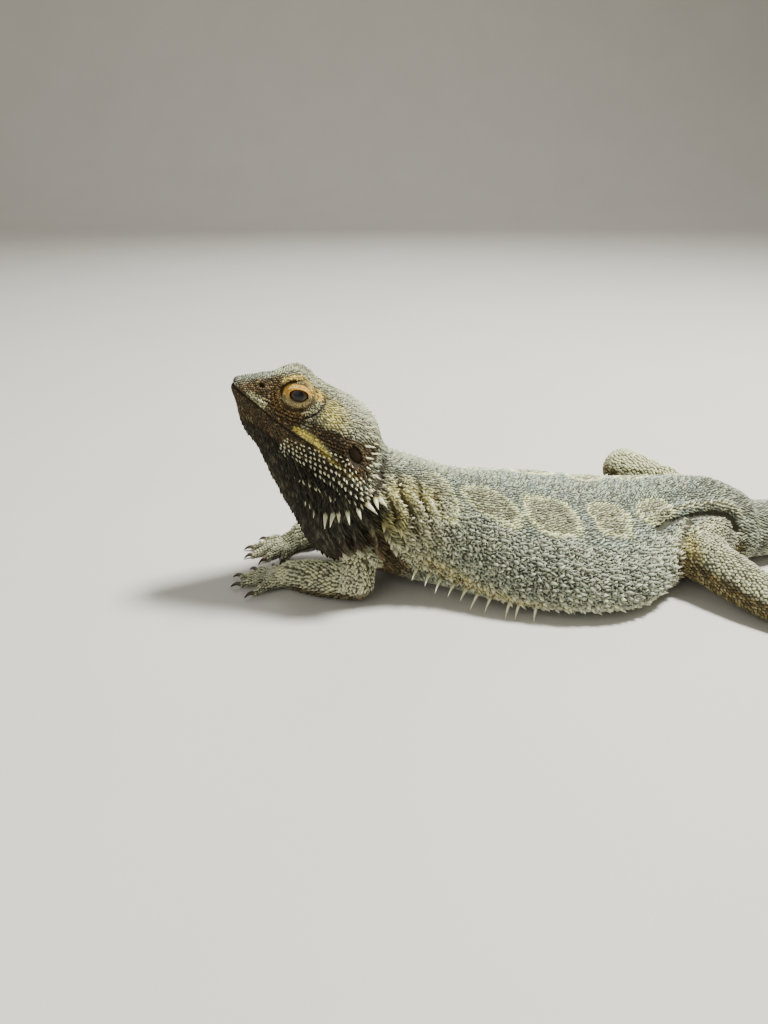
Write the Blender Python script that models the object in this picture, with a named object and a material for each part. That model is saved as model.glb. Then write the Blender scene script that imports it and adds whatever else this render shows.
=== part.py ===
"""Adult bearded dragon, basking on its belly with its head raised, as a life-size still model.

Frame: +X runs from the snout to the tail, -Y is the animal's left side, +Z is up and the floor is
z = 0. The body is modelled round a point under the middle of its back, and everything is moved at
the end so that the origin is the centre of the underside of the bounding box. All sizes are in
metres and all angles in radians.

The head, neck, trunk and tail are one loft, parted by thin plane cuts. Each leg is an upper piece, a
lower piece and a foot with five toes, and each of these is cut back where its neighbour is.
"""

import math

import bmesh
import bpy
import numpy as np

COLLECTION = "bearded_dragon"
GAP = 0.00036  # clearance between neighbours
DOWN = np.array([0.0, 0.0, -1.0])

# --- head -----------------------------------------------------------------------------------------
HEAD_PITCH = math.radians(33)  # the mouth line rises this much towards the snout
HEAD_YAW = math.radians(4)  # and the snout is turned this much to the animal's left
EYE_CENTRE = np.array([-0.0926, -0.0184, 0.0827])  # midway between the two eyes
MOUTH_DROP = 0.0118  # from the line through the eyes down to the mouth line
EYE_SPREAD = 0.0088  # from the middle plane to an eyeball's centre
EYE_RADIUS = 0.0047
EYE_SIDES = 12
EYE_RINGS = 8
EAR_PLACE = (-0.0268, -0.0068)  # forward of and above the eyes
EAR_RADII = (0.0027, 0.0041)  # across and along the opening
EAR_LEAN = math.radians(-50)  # lean of the opening's top: back from the head's upright, or forward if negative
EAR_DEPTH = 0.0024
EARDRUM_THICK = 0.0022

# Sections of the head, square to the mouth line: distance forward of the eyes, half width, height
# above the mouth line, depth below it (chin and beard), and how square the two halves are.
HEAD_SECTIONS = {
    "snout_tip": (0.0228, 0.0022, 0.0022, 0.0016, 2.0, 2.0),
    "snout": (0.0208, 0.0052, 0.0046, 0.0038, 2.2, 2.0),
    "nostrils": (0.0160, 0.0080, 0.0082, 0.0084, 2.3, 1.9),
    "lores": (0.0090, 0.0106, 0.0118, 0.0136, 2.5, 1.8),
    "eyes": (0.0020, 0.0134, 0.0160, 0.0164, 2.7, 1.8),
    "temples": (-0.0100, 0.0170, 0.0174, 0.0242, 2.5, 1.9),
    "ears": (-0.0245, 0.0208, 0.0166, 0.0325, 2.3, 2.1),
}
# Bumps of the head: place (forward of, sideways from and above the eyes), size, push in these axes.
HEAD_BUMPS = {
    "brow": ((0.0088, 0.0078, 0.0056), 0.0076, (0.0010, 0.0014, 0.0070)),
    "forehead": ((0.0140, 0.0000, 0.0000), 0.0050, (0.0, 0.0, -0.0010)),
    "lore": ((0.0105, 0.0092, -0.0040), 0.0042, (0.0, -0.0014, 0.0)),
    "crown": ((-0.0320, 0.0070, 0.0030), 0.0075, (-0.0022, 0.0, 0.0004)),
    "temple": ((-0.0200, 0.0160, 0.0010), 0.0075, (0.0, 0.0018, 0.0006)),
    "jowl": ((-0.0340, 0.0205, -0.0180), 0.0100, (-0.0010, 0.0042, 0.0)),
    "beard": ((-0.0240, 0.0120, -0.0380), 0.0120, (0.0, 0.0030, 0.0)),
}

# --- neck, trunk and root of the tail -------------------------------------------------------------
# Widest point's place (x, y, z), lean back of the section, half width, height above and depth below
# the widest point, and how square the two halves are.
TRUNK_SECTIONS = {
    "nape": (-0.0705, -0.0168, 0.0440, 0.63, 0.0212, 0.0165, 0.0310, 2.2, 2.2),
    "neck": (-0.0575, -0.0140, 0.0330, 0.47, 0.0222, 0.0205, 0.0280, 2.1, 2.2),
    "shoulders": (-0.0400, -0.0100, 0.0200, 0.26, 0.0285, 0.0260, 0.0215, 2.0, 2.3),
    "chest": (-0.0205, -0.0066, 0.0110, 0.08, 0.0405, 0.0308, 0.0125, 2.0, 2.5),
    "belly": (0.0050, -0.0032, 0.0090, 0.00, 0.0492, 0.0284, 0.0108, 2.0, 2.6),
    "flank": (0.0290, -0.0005, 0.0088, 0.00, 0.0486, 0.0247, 0.0106, 2.0, 2.6),
    "loin": (0.0530, 0.0032, 0.0115, 0.00, 0.0335, 0.0226, 0.0130, 2.0, 2.4),
    "hips": (0.0780, 0.0065, 0.0130, 0.00, 0.0232, 0.0218, 0.0142, 2.0, 2.2),
    "rump": (0.0925, 0.0085, 0.0122, 0.00, 0.0196, 0.0168, 0.0130, 2.0, 2.1),
    "vent": (0.1060, 0.0105, 0.0108, 0.00, 0.0158, 0.0112, 0.0116, 2.0, 2.1),
}

# --- tail -----------------------------------------------------------------------------------------
TAIL_LENGTH = 0.258  # from the vent to the tip
TAIL_RADIUS = 0.0122  # behind the swollen root
TAIL_TIP_RADIUS = 0.0011
TAIL_HEADING = math.radians(8)  # away from +X, towards the animal's right
TAIL_BEND = math.radians(34)  # how far the middle of the tail turns further that way
TAIL_SECTIONS = 7

# --- where the body is parted: a station, and how far on towards the next one ------------------------
SPINE_CUTS = {
    "head": ("nape", 0.0),
    "neck": ("shoulders", 0.15),
    "chest": ("belly", -0.30),
    "trunk": ("loin", -0.05),
    "hips": ("vent", 0.10),
    "tail_base": ("vent", 1.8),
    "tail_middle": ("vent", 4.1),
    "tail_end": None,
}
JAW_DEPTH = 0.0065  # of the lower jaw under the eyes, where the beard starts
JAW_TAPER = math.radians(14)  # the jaw deepens towards its hinge

BODY_SIDES = 20
RINGS_PER_SECTION = {"head": 3, "trunk": 2, "tail": 2}

# --- legs -----------------------------------------------------------------------------------------
# Centres of each leg's joints, and the heading of its middle toe (0 is +X, a quarter turn is +Y).
LEGS = {
    "front_left": ((-0.0690, -0.0215, 0.0300), (-0.0730, -0.0340, 0.0078), (-0.1000, -0.0240, 0.0054), 2.88),
    "front_right": ((-0.0570, -0.0010, 0.0310), (-0.0710, 0.0255, 0.0078), (-0.1000, 0.0105, 0.0054), 3.60),
    "rear_left": ((0.0810, 0.0015, 0.0098), (0.0668, -0.0252, 0.0140), (0.0895, -0.0560, 0.0066), -0.90),
    "rear_right": ((0.0800, 0.0130, 0.0150), (0.0535, 0.0450, 0.0245), (0.0745, 0.0780, 0.0066), 0.82),
}
# Radii along a leg's upper and lower piece.
LEG_RADII = {
    "front": ((0.0084, 0.0078, 0.0070, 0.0070), (0.0070, 0.0076, 0.0073, 0.0058)),
    "rear": ((0.0108, 0.0116, 0.0112, 0.0098), (0.0092, 0.0090, 0.0080, 0.0056)),
}
LEG_NAMES = {"front": ("upper_arm", "forearm", "hand"), "rear": ("thigh", "shin", "foot")}
LEG_SIDES = 10
LEG_RINGS = 5

# --- feet -----------------------------------------------------------------------------------------
PALM_LENGTH = {"front": 0.0085, "rear": 0.0130}
PALM_SECTIONS = {  # share of the length, half width, half height
    "front": ((-0.45, 0.0040, 0.0036), (0.0, 0.0052, 0.0044), (0.55, 0.0066, 0.0040), (1.0, 0.0062, 0.0028)),
    "rear": ((-0.35, 0.0046, 0.0040), (0.0, 0.0054, 0.0048), (0.55, 0.0066, 0.0042), (1.0, 0.0068, 0.0030)),
}
TOE_LENGTHS = {  # from the thumb outwards
    "front": (0.0070, 0.0105, 0.0125, 0.0120, 0.0080),
    "rear": (0.0075, 0.0110, 0.0150, 0.0185, 0.0105),
}
TOE_HEADINGS = {  # away from the middle toe, towards the thumb
    "front": (0.80, 0.36, 0.0, -0.34, -0.84),
    "rear": (0.60, 0.28, 0.0, -0.26, -0.86),
}
TOE_ROOT = 0.0030  # how far a toe starts inside the palm or sole
TOE_RADII = (0.0023, 0.0019, 0.0014)
TOE_ARCH = 0.0010  # the middle of a toe stands this much above a straight line
CLAW_LENGTHS = {"front": 0.0036, "rear": 0.0042}
CLAW_RADII = (0.0010, 0.0007, 0.00015)
CLAW_DROP = 0.0011  # the claw's point hooks down this much
TOE_SIDES = 6
CLAW_SIDES = 5

COLOURS = {
    "skin": (0.17, 0.17, 0.15),
    "beard": (0.030, 0.028, 0.026),
    "face": (0.30, 0.27, 0.19),
    "eye": (0.16, 0.10, 0.04),
    "eardrum": (0.06, 0.045, 0.035),
    "claw": (0.10, 0.08, 0.06),
}
ROUGHNESS = {"skin": 0.8, "beard": 0.75, "face": 0.7, "eye": 0.15, "eardrum": 0.5, "claw": 0.4}


# --- curves and sections ----------------------------------------------------------------------------
def smooth(values, t):
    """A smooth curve through rows of values at 0, 1, 2 and so on, read at the places t."""
    values = np.asarray(values, float)
    t = np.atleast_1d(np.asarray(t, float))
    slopes = np.gradient(values, axis=0)
    i = np.clip(t.astype(int), 0, len(values) - 2)
    u = (t - i)[:, None]
    return (
        values[i] * (2 * u**3 - 3 * u**2 + 1)
        + slopes[i] * (u**3 - 2 * u**2 + u)
        + values[i + 1] * (3 * u**2 - 2 * u**3)
        + slopes[i + 1] * (u**3 - u**2)
    )


def unit(vector):
    vector = np.asarray(vector, float)
    return vector / np.linalg.norm(vector)


def head_axes():
    """Unit vectors forward, to the animal's left and up in the raised and turned head."""
    level = np.array([-math.cos(HEAD_YAW), -math.sin(HEAD_YAW), 0.0])
    left = np.array([math.sin(HEAD_YAW), -math.cos(HEAD_YAW), 0.0])
    forward = level * math.cos(HEAD_PITCH) - DOWN * math.sin(HEAD_PITCH)
    return forward, left, np.cross(left, forward) * -1


def head_point(forward, side, above):
    """A point given forward of, to the left of and above the middle of the eyes."""
    ahead, left, up = head_axes()
    return EYE_CENTRE + forward * ahead + side * left + above * up


def tail_rows():
    """Sections of the tail behind the vent: it tapers, turns to one side and lies on the floor."""
    share = np.arange(1, TAIL_SECTIONS + 1) / TAIL_SECTIONS
    fine = np.linspace(0, 1, 129)
    heading = TAIL_HEADING + TAIL_BEND * (np.sin(fine * math.pi * 1.3) - 0.35 * fine)
    step = TAIL_LENGTH / 128
    start = TRUNK_SECTIONS["vent"]
    x = np.interp(share, fine, start[0] + np.cumsum(np.cos(heading)) * step)
    y = np.interp(share, fine, start[1] + np.cumsum(np.sin(heading)) * step)
    radius = TAIL_TIP_RADIUS + (TAIL_RADIUS - TAIL_TIP_RADIUS) * (1 - share) ** 1.1
    return [(*row, r * 0.95, 0.0, r * 1.03, r, r, 2.0, 2.1) for *row, r in zip(x, y, radius)]


def body_rows():
    """Every section of the body, snout to tail, and the number of each named one."""
    rows, numbers = [], {}
    for name, (forward, *outline) in HEAD_SECTIONS.items():
        numbers[name] = len(rows)
        rows.append((*head_point(forward, 0.0, -MOUTH_DROP), HEAD_PITCH, *outline))
    for name, row in TRUNK_SECTIONS.items():
        numbers[name] = len(rows)
        rows.append(row)
    return np.array(rows + tail_rows()), numbers


def section_axes(rows):
    """For each section: unit vectors along the body, to the animal's left and up in the section."""
    heading = np.gradient(rows[:, :2], axis=0)
    heading /= np.linalg.norm(heading, axis=1)[:, None]
    lean = rows[:, 3]
    level = np.column_stack([heading, np.zeros(len(rows))])
    left = np.column_stack([heading[:, 1], -heading[:, 0], np.zeros(len(rows))])
    along = level * np.cos(lean)[:, None] + DOWN * np.sin(lean)[:, None]
    up = level * np.sin(lean)[:, None] - DOWN * np.cos(lean)[:, None]
    return along, left, up


def outline(angle, width, up, down, square_up, square_down):
    """Left and up distances round a section: two half superellipses that share one width."""
    c, s = np.cos(angle), np.sin(angle)
    square = np.where(s >= 0, square_up, square_down)
    across = np.sign(c) * np.abs(c) ** (2 / square) * width
    height = np.sign(s) * np.abs(s) ** (2 / square) * np.where(s >= 0, up, down)
    return across, height


def add_bumps(points):
    """Moves points of the head by every bump, on both sides of the middle plane."""
    ahead, left, up = head_axes()
    away = points - EYE_CENTRE
    place = np.stack([away @ ahead, away @ left, away @ up], axis=-1)
    moved = points.copy()
    for where, size, push in HEAD_BUMPS.values():
        for side in (1.0, -1.0) if where[1] else (1.0,):
            centre = np.array(where) * (1.0, side, 1.0)
            weight = np.exp(-np.sum((place - centre) ** 2, axis=-1) / size**2)
            moved += weight[..., None] * (push[0] * ahead + push[1] * side * left + push[2] * up)
    return moved


def body_stations():
    """Smoothed sections along the body, and each one's number among the named ones."""
    rows, numbers = body_rows()
    parts = (("head", 0, numbers["nape"]), ("trunk", numbers["nape"], numbers["vent"]))
    parts += (("tail", numbers["vent"], len(rows) - 1),)
    places = [
        np.linspace(first, last, (last - first) * RINGS_PER_SECTION[name], endpoint=False)
        for name, first, last in parts
    ]
    t = np.concatenate([*places, [len(rows) - 1]])
    return smooth(rows, t), t, rows, numbers


def body_rings():
    """Rings of points round the body, from the snout to the tip of the tail."""
    stations, _, _, _ = body_stations()
    _, left, up = section_axes(stations)
    angles = np.arange(BODY_SIDES) * 2 * math.pi / BODY_SIDES
    across, height = outline(angles[None, :], *(stations[:, k][:, None] for k in range(4, 9)))
    rings = stations[:, None, :3] + across[..., None] * left[:, None] + height[..., None] * up[:, None]
    return add_bumps(rings)


def tube_rings(path, widths, heights, sides, upright=False):
    """Elliptical rings along a path, square to it or, if upright, square to its level direction."""
    path = np.asarray(path, float)
    along = np.gradient(path, axis=0)
    if upright:
        along[:, 2] = 0.0
    along /= np.linalg.norm(along, axis=1)[:, None]
    left = np.cross(along, -DOWN)
    left /= np.linalg.norm(left, axis=1)[:, None]
    up = np.cross(left, along)
    angles = np.arange(sides) * 2 * math.pi / sides
    across = np.cos(angles)[None, :, None] * left[:, None] * np.asarray(widths)[:, None, None]
    height = np.sin(angles)[None, :, None] * up[:, None] * np.asarray(heights)[:, None, None]
    return path[:, None] + across + height


# --- meshes -----------------------------------------------------------------------------------------
def mesh_object(name, mesh, kind):
    made = bpy.data.objects.new(name, mesh)
    made.data.materials.clear()
    made.data.materials.append(bpy.data.materials[kind])
    bpy.data.collections[COLLECTION].objects.link(made)
    return made


def tidy(shape):
    """Merges doubled points, splits every face into triangles and turns them all outward."""
    bmesh.ops.remove_doubles(shape, verts=shape.verts, dist=2e-6)
    bmesh.ops.dissolve_degenerate(shape, edges=shape.edges, dist=2e-6)
    bmesh.ops.triangulate(shape, faces=shape.faces)
    bmesh.ops.recalc_face_normals(shape, faces=shape.faces)


def loft(name, rings, kind, floor=True):
    """A closed solid through rings of points, capped at both ends and pressed flat on the floor."""
    rings = np.array(rings)
    if floor:
        rings[..., 2] = np.maximum(rings[..., 2], 0.0)
    mesh = bpy.data.meshes.new(name)
    shape = bmesh.new()
    verts = [[shape.verts.new(point) for point in ring] for ring in rings]
    for one, two in zip(verts, verts[1:]):
        for k in range(len(one)):
            shape.faces.new((one[k], one[k - 1], two[k - 1], two[k]))
    shape.faces.new(verts[0])
    shape.faces.new(verts[-1][::-1])
    tidy(shape)
    shape.to_mesh(mesh)
    shape.free()
    return mesh_object(name, mesh, kind)


def keep_between(source, name, planes, kind):
    """A copy of a solid without what lies beyond any of the planes, given as point and direction."""
    mesh = source.data.copy()
    mesh.name = name
    shape = bmesh.new()
    shape.from_mesh(mesh)
    for point, direction in planes:
        everything = shape.verts[:] + shape.edges[:] + shape.faces[:]
        bmesh.ops.bisect_plane(
            shape, geom=everything, dist=1e-7, plane_co=point, plane_no=direction, clear_outer=True
        )
        rim = [edge for edge in shape.edges if edge.is_boundary]
        bmesh.ops.holes_fill(shape, edges=rim, sides=0)
    tidy(shape)
    shape.to_mesh(mesh)
    shape.free()
    return mesh_object(name, mesh, kind)


def apply_modifiers(obj):
    """Turns the object's modifiers into mesh, and keeps only the largest connected piece."""
    graph = bpy.context.evaluated_depsgraph_get()
    graph.update()
    made = bpy.data.meshes.new_from_object(obj.evaluated_get(graph))
    obj.modifiers.clear()
    obj.data = made
    shape = bmesh.new()
    shape.from_mesh(made)
    tidy(shape)
    crumbs = sorted(connected(shape), key=len)[:-1]
    for crumb in crumbs:
        bmesh.ops.delete(shape, geom=crumb, context="VERTS")
    shape.to_mesh(made)
    shape.free()


def connected(shape):
    """The points of a mesh, in one list for each connected piece."""
    left, groups = set(shape.verts), []
    while left:
        group = [left.pop()]
        for vert in group:
            for edge in vert.link_edges:
                other = edge.other_vert(vert)
                if other in left:
                    left.remove(other)
                    group.append(other)
        groups.append(group)
    return groups


def swollen(source, by=GAP):
    """A cutter, left out of the model: a copy of a solid grown by a clearance."""
    cutter = bpy.data.objects.new(source.name + "_cutter", source.data.copy())
    bpy.data.collections["cutters"].objects.link(cutter)
    cutter.hide_render = True
    cutter.display_type = "WIRE"
    grow = cutter.modifiers.new("grow", "DISPLACE")
    grow.strength = by
    grow.mid_level = 0.0
    apply_modifiers(cutter)
    return cutter


def carve(target, *cutters):
    """Cuts other solids out of the target."""
    for cutter in cutters:
        cut = target.modifiers.new("cut", "BOOLEAN")
        cut.operation = "DIFFERENCE"
        cut.object = cutter
    apply_modifiers(target)
    return target


def join(whole, *pieces):
    """Adds overlapping solids to the first one."""
    for piece in pieces:
        union = whole.modifiers.new("union", "BOOLEAN")
        union.operation = "UNION"
        union.object = piece
    apply_modifiers(whole)
    for piece in pieces:
        bpy.data.objects.remove(piece)
    return whole


def ball(name, centre, axes, radii, kind, sides=EYE_SIDES, rings=EYE_RINGS):
    """A closed ellipsoid with its pole along the last axis."""
    mesh = bpy.data.meshes.new(name)
    shape = bmesh.new()
    bmesh.ops.create_uvsphere(shape, u_segments=sides, v_segments=rings, radius=1.0)
    frame = np.array(axes).T * np.array(radii)
    for vert in shape.verts:
        vert.co = frame @ np.array(vert.co) + centre
    tidy(shape)
    shape.to_mesh(mesh)
    shape.free()
    return mesh_object(name, mesh, kind)


# --- head and body ------------------------------------------------------------------------------------
def cut_plane(place, facing):
    """The plane across the body at a named section and a share of the way to the next one."""
    rows, numbers = body_rows()
    name, share = place
    number = numbers[name] + share
    row = smooth(rows, number - 0.02 + np.array([0.0, 0.02, 0.04]))
    along, _, _ = section_axes(row)
    return row[1, :3] - facing * along[1] * GAP / 2, facing * along[1]


def make_body():
    """The body in one piece, as a cutter for the legs, and parted into head, neck, trunk and tail."""
    whole = loft("body", body_rings(), "skin")
    before = None
    for name, end in SPINE_CUTS.items():
        planes = [cut_plane(before, -1)] if before else []
        planes += [cut_plane(end, 1)] if end else []
        keep_between(whole, name, planes, "face" if name == "head" else "skin")
        before = end
    cutter = swollen(whole)
    bpy.data.objects.remove(whole)
    return cutter


def part_head():
    """Parts the head at the mouth line and at the beard, into head, jaw and beard."""
    head = bpy.data.objects["head"]
    ahead, _, up = head_axes()
    mouth = head_point(0.0, 0.0, -MOUTH_DROP)
    chin = head_point(0.0, 0.0, -MOUTH_DROP - JAW_DEPTH)
    chin_up = up * math.cos(JAW_TAPER) - ahead * math.sin(JAW_TAPER)
    half = GAP / 2
    jaw_planes = [(mouth - up * half, up), (chin + chin_up * half, -chin_up)]
    keep_between(head, "jaw", jaw_planes, "face")
    keep_between(head, "beard", [(chin - chin_up * half, chin_up), (mouth - up * half, up)], "beard")
    upper = keep_between(head, "upper_head", [(mouth + up * half, -up)], "face")
    bpy.data.objects.remove(head)
    upper.name = "head"
    return upper


def ear_axes(side):
    """Unit vectors across and along the ear opening and out of it."""
    ahead, left, up = head_axes()
    along = up * math.cos(EAR_LEAN) - ahead * math.sin(EAR_LEAN)
    across = ahead * math.cos(EAR_LEAN) + up * math.sin(EAR_LEAN)
    return across, along * side, left * side


def surface_point(solid, start, direction):
    """Where a ray that comes from outside, against the direction, meets the solid."""
    far = start + direction * 0.05
    hit, place, _, _ = solid.ray_cast(far, -direction)
    return np.array(place) if hit else start


def make_eyes(head):
    """Eyeballs in sockets."""
    ahead, left, up = head_axes()
    for name, side in (("left", 1), ("right", -1)):
        centre = head_point(0.0, side * EYE_SPREAD, 0.0)
        eye = ball(f"eye_{name}", centre, (ahead, up, left * side), (EYE_RADIUS,) * 3, "eye")
        carve(head, swollen(eye))


def make_ears(head):
    """An oval recess behind each cheek, with the eardrum lying in it."""
    for name, side in (("left", 1), ("right", -1)):
        axes = ear_axes(side)
        seen = head_point(EAR_PLACE[0], 0.0, EAR_PLACE[1])
        centre = surface_point(head, seen, axes[2])
        recess = ball("recess", centre, axes, (*EAR_RADII, EAR_DEPTH), "eardrum")
        cutter = swollen(recess, 0.0)
        bpy.data.objects.remove(recess)
        carve(head, cutter)
        radii = (EAR_RADII[0] * 0.84, EAR_RADII[1] * 0.86, EARDRUM_THICK / 2)
        depth = EAR_DEPTH - GAP - radii[2]
        ball(f"eardrum_{name}", centre - axes[2] * depth, axes, radii, "eardrum", 10, 6)


# --- legs and feet ------------------------------------------------------------------------------------
def limb(name, start, end, radii, kind="skin"):
    """One length of a leg: a tube with rounded ends whose radius follows the list."""
    start, end = np.array(start), np.array(end)
    t = np.linspace(0, 1, LEG_RINGS)
    radius = smooth(np.array(radii)[:, None], t * (len(radii) - 1))[:, 0]
    way = unit(end - start)
    path = start + t[:, None] * (end - start)
    first = [(start - way * radii[0] * s, radii[0] * math.sqrt(1 - s * s)) for s in (0.92, 0.55)]
    last = [(end + way * radii[-1] * s, radii[-1] * math.sqrt(1 - s * s)) for s in (0.55, 0.92)]
    path = np.concatenate([[p for p, _ in first], path, [p for p, _ in last]])
    radius = np.concatenate([[r for _, r in first], radius, [r for _, r in last]])
    return loft(name, tube_rings(path, radius, radius, LEG_SIDES), kind)


def toe(name, start, heading, length):
    """A toe that arches over the floor; it ends in a small flat face for the claw."""
    way = np.array([math.cos(heading), math.sin(heading), 0.0])
    t = np.array([0.0, 0.4, 0.75, 1.0])
    radius = np.interp(t, (0.0, 0.55, 1.0), TOE_RADII)
    path = start + t[:, None] * length * way
    level = np.interp(t, (0.0, 0.5, 1.0), (TOE_RADII[0] * 1.15, TOE_RADII[1], TOE_RADII[2] * 0.86))
    path[:, 2] = level + TOE_ARCH * np.sin(math.pi * t)
    radius[-1] *= 0.78
    return loft(name, tube_rings(path, radius * 1.05, radius * 0.95, TOE_SIDES, upright=True), "skin")


def claw(name, start, heading, length):
    """A hooked claw that starts a clearance in front of its toe."""
    way = np.array([math.cos(heading), math.sin(heading), 0.0])
    t = np.linspace(0, 1, len(CLAW_RADII))
    radius = np.array(CLAW_RADII)
    path = start + (GAP + t * length)[:, None] * way
    path[:, 2] = TOE_RADII[2] * 0.95 + 0.0004 * np.sin(math.pi * t) - (CLAW_DROP - 0.0001) * t**2
    return loft(name, tube_rings(path, radius * 0.8, radius, CLAW_SIDES, upright=True), "claw")


def make_foot(leg, ankle, heading):
    """The palm or sole with its five toes as one solid, and the claws."""
    kind, side = leg.split("_")
    thumb = 1 if (kind == "rear") == (side == "left") else -1  # which way round the toes are counted
    way = np.array([math.cos(heading), math.sin(heading), 0.0])
    share, widths, heights = np.array(PALM_SECTIONS[kind]).T
    length = PALM_LENGTH[kind]
    path = ankle + share[:, None] * length * way
    path[:, 2] = heights * 0.92
    path[0, 2] = max(ankle[2], path[0, 2])
    name = f"{LEG_NAMES[kind][2]}_{side}"
    palm = loft(name, tube_rings(path, widths, heights, LEG_SIDES, upright=True), "skin")
    toes = []
    for number, (reach, turn) in enumerate(zip(TOE_LENGTHS[kind], TOE_HEADINGS[kind]), 1):
        toe_heading = heading + thumb * turn
        across = np.array([-math.sin(heading), math.cos(heading), 0.0]) * thumb
        base = ankle + way * length * (0.86 - 0.32 * abs(turn)) + across * widths[2] * 0.78 * math.sin(turn)
        base[2] = 0.0
        out = np.array([math.cos(toe_heading), math.sin(toe_heading), 0.0])
        toes.append(toe(f"toe_{number}", base, toe_heading, reach + TOE_ROOT))
        tip = base + out * (reach + TOE_ROOT)
        claw(f"claw_{leg}_{number}", tip, toe_heading, CLAW_LENGTHS[kind])
    return join(palm, *toes)


def make_leg(leg, joints, heading, body_cutter):
    """Upper piece, lower piece and foot of one leg."""
    kind, side = leg.split("_")
    root, bend, end = (np.array(joint) for joint in joints)
    upper_name, lower_name, _ = LEG_NAMES[kind]
    upper_radii, lower_radii = LEG_RADII[kind]
    upper = limb(f"{upper_name}_{side}", root, bend, upper_radii)
    lower = limb(f"{lower_name}_{side}", bend, end, lower_radii)
    foot = make_foot(leg, end, heading)
    carve(foot, swollen(lower))
    carve(lower, swollen(upper), body_cutter)
    carve(upper, body_cutter)


# --- the whole animal -----------------------------------------------------------------------------------
def start_scene():
    """An empty scene with the part's collection, one for its cutters, and its materials."""
    for obj in list(bpy.data.objects):
        bpy.data.objects.remove(obj)
    for name in (COLLECTION, "cutters"):
        bpy.context.scene.collection.children.link(bpy.data.collections.new(name))
    for kind, colour in COLOURS.items():
        material = bpy.data.materials.new(kind)
        material.use_nodes = True
        shader = material.node_tree.nodes["Principled BSDF"]
        shader.inputs["Base Color"].default_value = (*colour, 1.0)
        shader.inputs["Roughness"].default_value = ROUGHNESS[kind]


def centre_model():
    """Moves every solid so that the origin is the centre of the underside of the bounding box."""
    solids = bpy.data.collections[COLLECTION].objects
    corners = np.array([vert.co for solid in solids for vert in solid.data.vertices])
    middle = (corners.min(axis=0) + corners.max(axis=0)) / 2
    for solid in solids:
        for vert in solid.data.vertices:
            vert.co.x -= middle[0]
            vert.co.y -= middle[1]


def main():
    start_scene()
    body_cutter = make_body()
    head = part_head()
    make_eyes(head)
    make_ears(head)
    for leg, (*joints, heading) in LEGS.items():
        make_leg(leg, joints, heading, body_cutter)
    centre_model()


if __name__ == "__main__":
    main()
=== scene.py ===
"""Bearded dragon, life size: its skin, scales, spines, eyes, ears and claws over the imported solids.

The animal is made of tubes. A tube is a set of rings carried along a path: one for the body from the
snout to the tip of the tail, and one for each length of a leg, each palm or sole and each toe. The
tubes are joined into one skin, the face is worked into it, and the scales stand on it in rows that
run round each tube and lie back along it. Lengths are in metres.
"""

import math
from functools import partial

import bmesh
import bpy
import numpy as np
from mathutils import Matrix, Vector


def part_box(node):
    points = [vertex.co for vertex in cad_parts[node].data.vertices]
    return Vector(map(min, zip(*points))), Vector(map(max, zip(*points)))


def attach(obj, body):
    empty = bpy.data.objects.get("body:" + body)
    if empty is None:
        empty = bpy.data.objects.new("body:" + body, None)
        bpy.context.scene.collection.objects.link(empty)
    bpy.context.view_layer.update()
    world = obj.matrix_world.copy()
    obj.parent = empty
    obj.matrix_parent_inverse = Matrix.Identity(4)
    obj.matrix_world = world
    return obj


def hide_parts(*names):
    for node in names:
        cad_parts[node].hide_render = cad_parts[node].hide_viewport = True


bl_info = {
    "name": "Bearded dragon",
    "version": (1, 0, 0),
    "blender": (4, 5, 0),
    "location": "3D View > Sidebar > Dragon",
    "description": "Skin, scales, spines, eyes and claws of a life-size bearded dragon",
    "category": "Add Mesh",
}

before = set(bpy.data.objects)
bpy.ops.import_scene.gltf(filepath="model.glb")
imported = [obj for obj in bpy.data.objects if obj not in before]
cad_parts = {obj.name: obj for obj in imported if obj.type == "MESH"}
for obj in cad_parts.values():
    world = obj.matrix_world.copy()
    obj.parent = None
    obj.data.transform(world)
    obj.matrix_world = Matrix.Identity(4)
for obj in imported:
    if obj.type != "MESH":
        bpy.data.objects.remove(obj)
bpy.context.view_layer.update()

UP = np.array([0.0, 0.0, 1.0])
SEED = 11

# --- the animal's measures: the same named values as the solids ---
HEAD_PITCH = math.radians(33)  # the mouth line rises this much towards the snout
HEAD_YAW = math.radians(4)  # and the snout is turned this much to the animal's left
EYE_CENTRE = np.array([-0.0926, -0.0184, 0.0827])  # midway between the two eyes
MOUTH_DROP = 0.0118  # from the line through the eyes down to the mouth line
MOUTH_CORNER = -0.0205  # forward of the eyes
EYE_SPREAD = 0.0088  # from the middle plane to an eyeball's centre
EYE_RADIUS = 0.0047
EAR_PLACE = (-0.0268, -0.0068)  # forward of and above the eyes
EAR_RADII = (0.0021, 0.0040)
EAR_LEAN = math.radians(-56)  # negative: the top of the ear opening leans forward

# Distance forward of the eyes, half width, height above and depth below the mouth line, squareness.
HEAD_SECTIONS = {
    "snout_tip": (0.0228, 0.0022, 0.0022, 0.0016, 2.0, 2.0),
    "snout": (0.0208, 0.0052, 0.0046, 0.0038, 2.2, 2.0),
    "nostrils": (0.0160, 0.0080, 0.0082, 0.0084, 2.3, 1.9),
    "lores": (0.0090, 0.0106, 0.0118, 0.0136, 2.5, 1.8),
    "eyes": (0.0020, 0.0134, 0.0160, 0.0164, 2.7, 1.8),
    "temples": (-0.0100, 0.0170, 0.0174, 0.0242, 2.5, 1.9),
    "ears": (-0.0245, 0.0208, 0.0166, 0.0325, 2.3, 2.1),
}
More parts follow.
